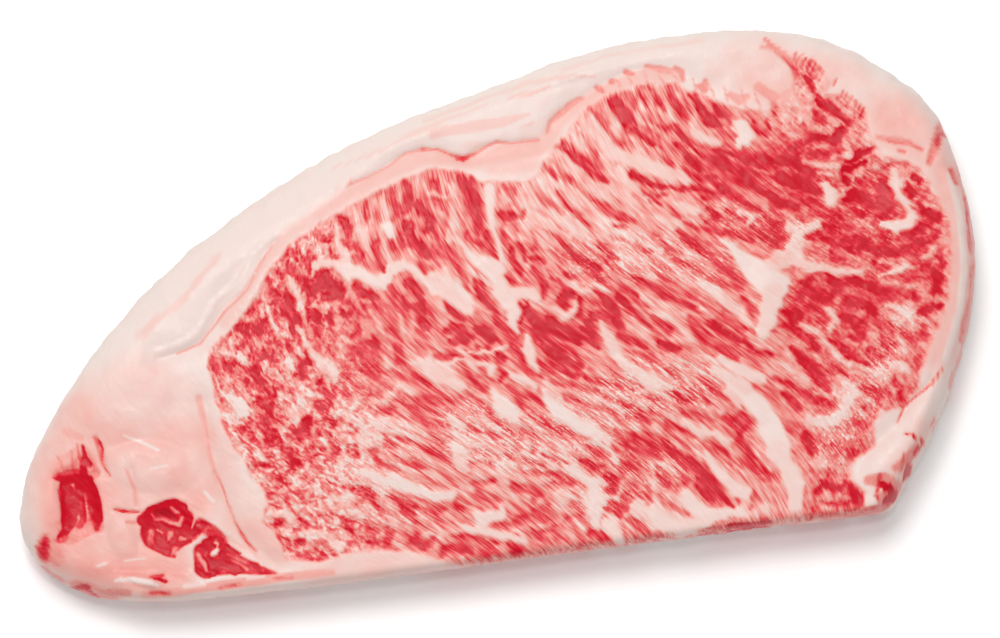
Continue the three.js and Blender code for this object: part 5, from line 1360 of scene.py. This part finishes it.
def leanness(points, grain):
    """The painted leanness of each point, how marbled it is, and how many threads of fat and painted
    glints it has.
    """
    deep = THICKNESS - points[:, 2]
    foot = 1 - smoothstep(*FOOT_DEPTHS, deep)
    slide = DEPTH_LEAN * deep * smoothstep(*SLIDE_DEPTHS, deep)
    flat = points[:, :2] + np.outer(slide, SLIDE)
    space = np.column_stack([flat, points[:, 2]])
    fibre = local_fibre(flat)
    streaks = np.column_stack([grain, deep]) / (STREAK_LENGTH, STREAK_WIDTH, STREAK_HEIGHT)
    comb = soft_noise(streaks * (1, 1.5, 1), 3) * COMB_LENGTH
    warp = np.column_stack([soft_noise(space / WARP_SIZE, seed) for seed in (4, 5)]) * WARP
    pull = fibre * comb[:, None]
    brush = flat + warp + pull

    border = signed_distance(flat + warp + pull / 2, np.array(EYE, float))
    inside = 1 - smoothstep(-EYE_SOFT, EYE_SOFT, border)
    fat = np.full(len(points), 0.06)
    paint(fat, flat, FAT_GROUND, GROUND_SOFT)
    fat += 0.03 * soft_noise(space / 7, 11) + 0.02 * soft_noise(space / 2.5, 12)
    fat += (WALL_FAT - fat) * WALL_FAT_SHARE * smoothstep(*FAT_DEPTHS, deep) * foot

    lean = np.full(len(points), 0.4)
    paint(lean, flat, LEAN_GROUND, GROUND_SOFT)
    paint(lean, brush, LEAN_STROKES, STROKE_SOFT)
    paint(lean, brush, FAT_STROKES, STROKE_SOFT)
    combed = 0.09 * soft_noise(streaks, 6) + 0.11 * soft_noise(streaks * 1.9, 7)
    swirled = 0.11 * soft_noise(space / 2.4, 8) + 0.13 * soft_noise(space / 1.5, 9)
    speckled = lacy_share(flat)
    marbling = combed * (1 - 0.65 * speckled) + swirled * (0.12 + 0.88 * speckled)
    lean = np.minimum(lean + marbling * smoothstep(0.05, 0.34, lean), 1)
    lean *= 1 - WALL_LEAN_LOSS * smoothstep(*LEAN_DEPTHS, deep) * foot

    tone = fat + (lean - fat) * inside
    paint(tone, flat + warp, SILVERSKIN, SILVERSKIN_SOFT)
    frayed = warp * (0.35 + 2.4 * smoothstep(*FRAYED_DEPTHS, deep))[:, None]
    for strokes in (CAP_STROKES, TAIL_STROKES, RIM_STROKES):
        paint(tone, flat + frayed, strokes, FINE_SOFT)
    thread_and_glint_share = np.zeros(len(points))
    paint(thread_and_glint_share, flat, THREADED_AND_GLINTING, GROUND_SOFT)
    return tone, np.maximum(inside, 0.35 * smoothstep(0.2, 0.45, tone)), thread_and_glint_share * inside


# ---- node helpers ----


def add_node(tree, kind, settings=None, feeds=None):
    """Adds a node. feeds maps its inputs, by name or index, to a value or another socket."""
    made = tree.nodes.new(kind)
    for name, value in (settings or {}).items():
        setattr(made, name, value)
    for name, value in (feeds or {}).items():
        if isinstance(value, bpy.types.NodeSocket):
            tree.links.new(value, made.inputs[name])
        else:
            made.inputs[name].default_value = value
    return made


def maths(tree, operation, *values):
    """The result of one step of arithmetic on values or sockets."""
    feeds = dict(enumerate(values))
    return add_node(tree, "ShaderNodeMath", {"operation": operation}, feeds).outputs[0]


def plus(tree, a, b):
    return maths(tree, "ADD", a, b)


def times(tree, a, b):
    return maths(tree, "MULTIPLY", a, b)


def remap(tree, value, from_low, from_high, to_low, to_high, kind="SMOOTHSTEP"):
    """A value taken from one range to another, and held at its ends."""
    feeds = {0: value, 1: from_low, 2: from_high, 3: to_low, 4: to_high}
    return add_node(tree, "ShaderNodeMapRange", {"interpolation_type": kind}, feeds).outputs[0]


def mix_colour(tree, factor, a, b):
    feeds = {0: factor, 6: a, 7: b}
    return add_node(tree, "ShaderNodeMix", {"data_type": "RGBA"}, feeds).outputs[2]


def colour(red, green, blue):
    """A linear colour from one written in 0 to 255 as a screen shows it."""
    parts = [v / 255 for v in (red, green, blue)]
    return tuple(v / 12.92 if v < 0.04045 else ((v + 0.055) / 1.055) ** 2.4 for v in parts) + (1.0,)


# ---- relief ----


# Inputs of the relief, and the setting that each one takes its size from.
RELIEF_INPUTS = {
    "Fat lift": "fat_lift",
    "Fibre depth": "fibre_depth",
    "Skin dimples": "skin_dimples",
}

# Waves of the relief in a metre: of fibres along, across and down, of lumps and of dimples.
FIBRES_IN_METRE = (160, 750, 120)
LUMPS_IN_METRE = (170, 170, 170)
DIMPLES_IN_METRE = (330, 330, 330)
CUT_LUMPS = 0.6 * MM  # how far the lumps lift a cut face
SKIN_LUMPS = 1.6 * MM  # and how much further they lift the outer skin


def relief_tree(material):
    """Geometry nodes that lift the fat, sink the lean and raise the muscle fibres."""
    tree = bpy.data.node_groups.new("steak relief", "GeometryNodeTree")
    sockets = tree.interface
    sockets.new_socket("Geometry", in_out="INPUT", socket_type="NodeSocketGeometry")
    for name in RELIEF_INPUTS:
        sockets.new_socket(name, in_out="INPUT", socket_type="NodeSocketFloat")
    sockets.new_socket("Geometry", in_out="OUTPUT", socket_type="NodeSocketGeometry")
    inputs = add_node(tree, "NodeGroupInput").outputs

    def attribute(name, kind="FLOAT"):
        settings, feeds = {"data_type": kind}, {"Name": name}
        made = add_node(tree, "GeometryNodeInputNamedAttribute", settings, feeds)
        return made.outputs["Attribute"]

    def noise(vector, scale, detail, seed):
        feeds = {0: vector, 1: scale, 2: seed}
        moved = add_node(tree, "ShaderNodeVectorMath", {"operation": "MULTIPLY_ADD"}, feeds)
        feeds = {"Vector": moved.outputs[0], "Scale": 1.0, "Detail": detail, "Roughness": 0.55}
        made = add_node(tree, "ShaderNodeTexNoise", feeds=feeds)
        return maths(tree, "SUBTRACT", made.outputs[0], 0.5)

    lean, skin, free = attribute("lean"), attribute("skin"), attribute("free")
    grain = attribute("grain", "FLOAT_VECTOR")
    place = add_node(tree, "GeometryNodeInputPosition").outputs[0]
    fibres = noise(grain, FIBRES_IN_METRE, 2.0, (0, 0, 0))
    lumps = noise(place, LUMPS_IN_METRE, 2.0, (7, 7, 7))
    dimples = noise(place, DIMPLES_IN_METRE, 3.0, (3, 3, 3))
    lifted = times(tree, remap(tree, lean, 0.1, 0.7, 0.5, -0.5), inputs["Fat lift"])
    red = remap(tree, lean, 0.15, 0.5, 0.25, 1.0)
    combed = times(tree, times(tree, fibres, red), inputs["Fibre depth"])
    uneven = times(tree, lumps, maths(tree, "MULTIPLY_ADD", skin, SKIN_LUMPS, CUT_LUMPS))
    pitted = times(tree, times(tree, dimples, skin), inputs["Skin dimples"])
    cut = times(tree, plus(tree, lifted, combed), maths(tree, "SUBTRACT", 1.0, skin))
    height = times(tree, plus(tree, plus(tree, cut, uneven), pitted), free)
    feeds = {0: add_node(tree, "GeometryNodeInputNormal").outputs[0], "Scale": height}
    offset = add_node(tree, "ShaderNodeVectorMath", {"operation": "SCALE"}, feeds)
    feeds = {"Geometry": inputs["Geometry"], "Offset": offset.outputs[0]}
    moved = add_node(tree, "GeometryNodeSetPosition", feeds=feeds)
    whole = add_node(tree, "GeometryNodeRealizeInstances", feeds={"Geometry": moved.outputs[0]})
    feeds = {"Geometry": whole.outputs[0], "Material": material}
    dressed = add_node(tree, "GeometryNodeSetMaterial", feeds=feeds)
    add_node(tree, "NodeGroupOutput", feeds={"Geometry": dressed.outputs[0]})
    return tree


# ---- material ----


def streak_group():
    """Shader nodes for one layer of streaks: plateaus of plus or minus the amount."""
    tree = bpy.data.node_groups.new("fibre streaks", "ShaderNodeTree")
    sockets = tree.interface
    for name in ("Grain", "Stretch"):
        sockets.new_socket(name, in_out="INPUT", socket_type="NodeSocketVector")
    for name in ("Distortion", "Middle", "Softness", "Amount"):
        sockets.new_socket(name, in_out="INPUT", socket_type="NodeSocketFloat")
    sockets.new_socket("Value", in_out="OUTPUT", socket_type="NodeSocketFloat")
    inputs = add_node(tree, "NodeGroupInput").outputs
    feeds = {0: inputs["Grain"], 1: inputs["Stretch"]}
    scaled = add_node(tree, "ShaderNodeVectorMath", {"operation": "MULTIPLY"}, feeds)
    feeds = {"Vector": scaled.outputs[0], "Scale": 1.0, "Detail": 1.0, "Roughness": 0.5}
    feeds["Distortion"] = inputs["Distortion"]
    noise = add_node(tree, "ShaderNodeTexNoise", feeds=feeds).outputs[0]
    ends = (maths(tree, way, inputs["Middle"], inputs["Softness"]) for way in ("SUBTRACT", "ADD"))
    plateau = remap(tree, noise, *ends, -1.0, 1.0)
    add_node(tree, "NodeGroupOutput", feeds={"Value": times(tree, plateau, inputs["Amount"])})
    return tree


# Colours of the meat as a screen shows them, from fat to the deepest lean and to the painted shade of
# slits.
MEAT_COLOURS = [
    (0.00, (236, 225, 219)),
    (0.05, (236, 212, 205)),
    (0.12, (237, 196, 187)),
    (0.22, (238, 172, 162)),
    (0.34, (236, 147, 138)),
    (0.46, (231, 121, 115)),
    (0.58, (227, 94, 94)),
    (0.70, (225, 67, 75)),
    (0.82, (222, 38, 58)),
    (0.94, (212, 6, 38)),
    (1.04, (194, 0, 28)),
    (1.15, (134, 4, 22)),
    (1.25, (72, 12, 18)),
]
SKIN_COLOUR = (232, 220, 211)

# Layers of finer marbling: streaks in a metre along the fibres, across them and down, their
# distortion, softness and amount, and for some the middle of the noise that they are cut at.
COARSE_STREAKS = ((190, 880, 200), 0.3, 0.2, 0.12)
FINE_STREAKS = ((210, 2100, 300), 0.4, 0.2, 0.14)
FLECKS = ((420, 640, 400), 0.7, 0.16, 0.2)
SPECKS = ((1000, 1400, 900), 0.4, 0.22, 0.13)
# The next two are white threads of fat and, with them, painted glints of the wet surface.
THREADS_AND_GLINTS = ((260, 2700, 300), 0.8, 0.05, 0.5, 0.6)
DOTS_AND_GLINTS = ((1100, 1900, 900), 0.6, 0.05, 0.5, 0.63)
SKIN_PATCHES = ((75, 75, 110), 0.8, 0.25, 0.22)
WET_PATCHES = ((90, 90, 90), 0.5, 0.3, 0.1)
SKIN_SHARE = 0.78  # how much the skin covers between its patches

FIBRE_BUMP = 0.3 * MM
FILM_RIPPLE = 0.12 * MM  # how far the wet film rises and falls
FILM_RIPPLES = 1400.0  # in a metre


def meat_material(streaks):
    """Moist raw beef, coloured by the painted leanness and layers of finer streaks."""
    material = bpy.data.materials.new("raw marbled beef")
    material.use_nodes = True
    tree = material.node_tree
    tree.nodes.clear()

    def attribute(name):
        return add_node(tree, "ShaderNodeAttribute", {"attribute_name": name}).outputs

    def layer(grain, stretch, distortion, softness, amount, middle=0.5):
        feeds = {"Grain": grain, "Stretch": stretch, "Distortion": distortion}
        feeds |= {"Middle": middle, "Softness": softness, "Amount": amount}
        return add_node(tree, "ShaderNodeGroup", {"node_tree": streaks}, feeds).outputs[0]

    lean, skin = attribute("lean")["Fac"], attribute("skin")["Fac"]
    lacy, thread_and_glint_share = attribute("lacy")["Fac"], attribute("thread_and_glint_share")["Fac"]
    grain = attribute("grain")["Vector"]
    place = add_node(tree, "ShaderNodeTexCoord").outputs["Object"]

    # finer marbling than the painting holds: streaks along the fibres, and a lace of flecks
    streaky = plus(tree, layer(grain, *COARSE_STREAKS), layer(grain, *FINE_STREAKS))
    lace = plus(tree, layer(grain, *FLECKS), layer(grain, *SPECKS))
    feeds = {0: lacy, 2: streaky, 3: lace}
    mixed = add_node(tree, "ShaderNodeMix", {"data_type": "FLOAT"}, feeds).outputs[0]
    window = times(tree, remap(tree, lean, 0.08, 0.3, 0.08, 1.0), attribute("marbled")["Fac"])
    window = times(tree, window, remap(tree, lean, 0.75, 1.0, 1.0, 0.35))
    marbled = maths(tree, "MULTIPLY_ADD", mixed, window, lean)

    # thin white threads of fat in places, together with painted glints of the wet surface
    threads_and_glints = plus(tree, plus(tree, layer(grain, *THREADS_AND_GLINTS), layer(grain, *DOTS_AND_GLINTS)), 1.0)
    whitened = times(tree, times(tree, threads_and_glints, thread_and_glint_share), 0.4)
    marbled = maths(tree, "MAXIMUM", maths(tree, "SUBTRACT", marbled, whitened), 0.04)

    # the reds are deepened, up to the deepest red of fresh lean
    deepened = plus(tree, remap(tree, marbled, 0.4, 0.9, 0.0, 0.2, "LINEAR"), marbled)
    marbled = maths(tree, "MINIMUM", deepened, maths(tree, "MAXIMUM", lean, 1.0))

    darkest = MEAT_COLOURS[-1][0]
    feeds = {"Fac": maths(tree, "DIVIDE", marbled, darkest)}
    ramp = add_node(tree, "ShaderNodeValToRGB", feeds=feeds)
    stops = ramp.color_ramp.elements
    for position, shade in MEAT_COLOURS[1:-1]:
        stops.new(position / darkest).color = colour(*shade)
    stops[0].color = colour(*MEAT_COLOURS[0][1])
    stops[-1].color = colour(*MEAT_COLOURS[-1][1])

    # the outer skin of the fat is greyer than its cut face, and thinner in patches
    skin = times(tree, skin, plus(tree, layer(place, *SKIN_PATCHES), SKIN_SHARE))
    outer = mix_colour(tree, skin, ramp.outputs[0], colour(*SKIN_COLOUR))
    tinted = mix_colour(tree, remap(tree, lean, 0.1, 0.3, 1.0, 0.0), ramp.outputs[0], outer)

    # fine relief of the fibres, under a wet film that ripples
    height = plus(tree, times(tree, streaky, 0.35), times(tree, lace, 0.3))
    feeds = {"Strength": 0.5, "Distance": FIBRE_BUMP, "Height": height}
    bump = add_node(tree, "ShaderNodeBump", feeds=feeds)
    feeds = {"Vector": place, "Scale": FILM_RIPPLES, "Detail": 2.0, "Roughness": 0.6}
    ripples = add_node(tree, "ShaderNodeTexNoise", feeds=feeds).outputs[0]
    feeds = {"Strength": 1.0, "Distance": FILM_RIPPLE, "Height": ripples}
    film = add_node(tree, "ShaderNodeBump", feeds=feeds)
    wet = plus(tree, layer(place, *WET_PATCHES), lean)
    rough = remap(tree, wet, 0.0, 1.0, 0.5, 0.4, "LINEAR")

    feeds = {"Base Color": tinted, "Roughness": rough}
    feeds |= {"Normal": bump.outputs[0], "Coat Normal": film.outputs[0]}
    shader = add_node(tree, "ShaderNodeBsdfPrincipled", feeds=feeds)
    for name, value in {
        "Subsurface Weight": 0.08,
        "Subsurface Radius": (1.0, 0.35, 0.25),
        "Subsurface Scale": 0.002,
        "Specular IOR Level": 0.1,
        "Coat Weight": 0.18,
        "Coat Roughness": 0.07,
        "Coat IOR": 1.4,
    }.items():
        shader.inputs[name].default_value = value
    add_node(tree, "ShaderNodeOutputMaterial", feeds={"Surface": shader.outputs[0]})
    return material


# ---- settings ----


class SteakSettings(bpy.types.PropertyGroup):
    """Sizes of the dressed steak."""

    face_spacing: bpy.props.FloatProperty(
        name="Face spacing",
        description="Distance between points of the upper cut face",
        default=0.62 * MM,
        min=0.4 * MM,
        precision=5,
        unit="LENGTH",
    )
    back_spacing: bpy.props.FloatProperty(
        name="Back spacing",
        description="Distance between points of the resting face",
        default=1.5 * MM,
        min=0.6 * MM,
        precision=5,
        unit="LENGTH",
    )
    fat_lift: bpy.props.FloatProperty(
        name="Fat lift",
        description="How far fat stands proud of lean on a cut face",
        default=0.5 * MM,
        precision=5,
        unit="LENGTH",
    )
    fibre_depth: bpy.props.FloatProperty(
        name="Fibre depth",
        description="How far the muscle fibres rise and fall on a cut face",
        default=0.45 * MM,
        precision=5,
        unit="LENGTH",
    )
    skin_dimples: bpy.props.FloatProperty(
        name="Skin dimples",
        description="How deep the outer skin of the fat is dimpled",
        default=0.5 * MM,
        precision=5,
        unit="LENGTH",
    )


class StudioSettings(bpy.types.PropertyGroup):
    """The floor, the lights and the camera."""

    floor_colour: bpy.props.FloatVectorProperty(
        name="Floor colour",
        description="Colour of the pale floor",
        default=(0.96, 0.96, 0.96),
        size=3,
        subtype="COLOR",
    )
    elevation: bpy.props.FloatProperty(
        name="Elevation",
        description="Height of the camera above the floor, as an angle",
        default=math.radians(85),
        subtype="ANGLE",
    )
    azimuth: bpy.props.FloatProperty(
        name="Azimuth",
        description="Way round the steak from its straight edge to the camera",
        default=math.radians(-6),
        subtype="ANGLE",
    )
    lens: bpy.props.FloatProperty(
        name="Lens",
        description="Focal length of the camera, in millimetres",
        default=180.0,
    )
    sky: bpy.props.FloatProperty(
        name="Sky",
        description="Strength of the even light from all round",
        default=0.39,
    )
    key: bpy.props.FloatProperty(
        name="Key light",
        description="Power of the large soft light above and behind",
        default=10.4,
        subtype="POWER",
    )


# ---- operators ----


def steak_object(settings):
    """The steak's mesh with its painting, as yet without the fine relief."""
    spacing = (settings.face_spacing / MM, settings.back_spacing / MM)
    points, triangles, places, skin, free = steak_surface(*spacing)
    grain = grain_coordinates(points[:, :2])
    lean, marbled, thread_and_glint_share = leanness(points, grain)
    mesh = bpy.data.meshes.new(PIECE)
    mesh.from_pydata(points * MM, [], triangles.tolist())
    mesh.shade_smooth()
    mesh.uv_layers.new(name="OFBake").data.foreach_set("uv", places.ravel())
    depth = THICKNESS - points[:, 2]
    layers = {"lean": lean, "marbled": marbled, "thread_and_glint_share": thread_and_glint_share, "skin": skin, "free": free}
    layers["lacy"] = lacy_share(points)
    for name, values in layers.items():
        mesh.attributes.new(name, "FLOAT", "POINT").data.foreach_set("value", values)
    along = np.column_stack([grain, depth]) * MM
    mesh.attributes.new("grain", "FLOAT_VECTOR", "POINT").data.foreach_set("vector", along.ravel())
    made = bpy.data.objects.new(PIECE, mesh)
    bpy.context.scene.collection.objects.link(made)
    return made


def apply_relief(piece, settings, material):
    """Runs the relief nodes and keeps their result as a plain mesh."""
    tree = relief_tree(material)
    modifier = piece.modifiers.new("relief", "NODES")
    modifier.node_group = tree
    for item in tree.interface.items_tree:
        if item.in_out == "INPUT" and item.name in RELIEF_INPUTS:
            modifier[item.identifier] = getattr(settings, RELIEF_INPUTS[item.name])
    graph = bpy.context.evaluated_depsgraph_get()
    carved = bpy.data.meshes.new_from_object(
        piece.evaluated_get(graph), preserve_all_data_layers=True, depsgraph=graph
    )
    piece.modifiers.remove(modifier)
    piece.data = carved


class STEAK_OT_build_steak(bpy.types.Operator):
    """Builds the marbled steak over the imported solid"""

    bl_idname = "steak.build_steak"
    bl_label = "Build steak"

    def execute(self, context):
        settings = context.scene.steak_settings
        piece = steak_object(settings)
        apply_relief(piece, settings, meat_material(streak_group()))
        if not piece.data.polygons:
            raise RuntimeError("the steak has no faces")
        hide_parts(NODE)
        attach(piece, "root")
        return {"FINISHED"}


FLOOR_REACH = 3.0
FLOOR_HEIGHT = -0.1 * MM  # clear of the resting face, so that neither shows through the other

# Lights: place, what each one points at, and its two widths, in metres.
KEY_LIGHT = ((-0.16, 0.42, 1.25), (0, 0, 0), (0.5, 0.4))
SHEEN_LIGHT = ((0.04, 0.04, 1.0), (0.02, -0.02, 0), (0.09, 0.09))
SHEEN_POWER = 1.1

AIM = (1.85 * MM, -2.85 * MM, 16 * MM)  # what the middle of the picture shows
PICTURE_WIDTH = 0.250  # metres that the picture is wide, at the height of AIM


def floor_object(tint):
    material = bpy.data.materials.new("pale floor")
    material.use_nodes = True
    shader = material.node_tree.nodes["Principled BSDF"]
    shader.inputs["Base Color"].default_value = (*tint, 1)
    shader.inputs["Roughness"].default_value = 0.8
    shader.inputs["Specular IOR Level"].default_value = 0.2
    shader.inputs["Emission Color"].default_value = (1, 1, 1, 1)
    shader.inputs["Emission Strength"].default_value = 0.1
    mesh = bpy.data.meshes.new("floor")
    ways = ((-1, -1), (1, -1), (1, 1), (-1, 1))
    corners = [(x * FLOOR_REACH, y * FLOOR_REACH, FLOOR_HEIGHT) for x, y in ways]
    mesh.from_pydata(corners, [], [(0, 1, 2, 3)])
    mesh.materials.append(material)
    floor = bpy.data.objects.new("floor", mesh)
    bpy.context.scene.collection.objects.link(floor)
    return floor


def aim(thing, place, target):
    """Puts a light or a camera somewhere and turns it towards a target."""
    thing.location = place
    thing.rotation_euler = (Vector(target) - Vector(place)).to_track_quat("-Z", "Y").to_euler()


def area_light(name, place, target, size, power):
    light = bpy.data.lights.new(name, "AREA")
    light.shape = "RECTANGLE"
    light.size, light.size_y = size
    light.energy = power
    made = bpy.data.objects.new(name, light)
    bpy.context.scene.collection.objects.link(made)
    aim(made, place, target)


def add_camera(settings):
    """Adds the camera, as far off as its lens needs to show the picture's width."""
    camera = bpy.data.cameras.new("camera")
    camera.lens = settings.lens
    camera.clip_end = 20
    made = bpy.data.objects.new("camera", camera)
    bpy.context.scene.collection.objects.link(made)
    distance = PICTURE_WIDTH * camera.lens / camera.sensor_width
    level = math.cos(settings.elevation) * distance
    place = (
        AIM[0] + level * math.sin(settings.azimuth),
        AIM[1] - level * math.cos(settings.azimuth),
        AIM[2] + math.sin(settings.elevation) * distance,
    )
    aim(made, place, AIM)
    bpy.context.scene.camera = made


class STEAK_OT_set_stage(bpy.types.Operator):
    """Adds the floor, the lights and the camera"""

    bl_idname = "steak.set_stage"
    bl_label = "Set stage"

    def execute(self, context):
        settings = context.scene.studio_settings
        floor = floor_object(settings.floor_colour)
        world = bpy.data.worlds.new("even light")
        world.use_nodes = True
        background = world.node_tree.nodes["Background"]
        background.inputs["Color"].default_value = (1, 1, 1, 1)
        background.inputs["Strength"].default_value = settings.sky
        context.scene.world = world
        area_light("key light", *KEY_LIGHT, settings.key)
        area_light("sheen light", *SHEEN_LIGHT, SHEEN_POWER)
        add_camera(settings)
        context.scene.view_settings.view_transform = "Standard"
        return {"FINISHED"}


class STEAK_PT_panel(bpy.types.Panel):
    """Lists the steps that build the steak and its studio"""

    bl_idname = "STEAK_PT_panel"
    bl_label = "Steak"
    bl_space_type = "VIEW_3D"
    bl_region_type = "UI"
    bl_category = "Steak"

    def draw(self, context):
        layout = self.layout
        for group in (context.scene.steak_settings, context.scene.studio_settings):
            for name in group.__annotations__:
                layout.prop(group, name)
        layout.operator(STEAK_OT_build_steak.bl_idname)
        layout.operator(STEAK_OT_set_stage.bl_idname)


CLASSES = (
    SteakSettings,
    StudioSettings,
    STEAK_OT_build_steak,
    STEAK_OT_set_stage,
    STEAK_PT_panel,
)


def register():
    for cls in CLASSES:
        bpy.utils.register_class(cls)
    bpy.types.Scene.steak_settings = bpy.props.PointerProperty(type=SteakSettings)
    bpy.types.Scene.studio_settings = bpy.props.PointerProperty(type=StudioSettings)


def unregister():
    del bpy.types.Scene.studio_settings
    del bpy.types.Scene.steak_settings
    for cls in reversed(CLASSES):
        bpy.utils.unregister_class(cls)


def main():
    register()
    bpy.ops.steak.build_steak()
    bpy.ops.steak.set_stage()


if __name__ == "__main__":
    main()
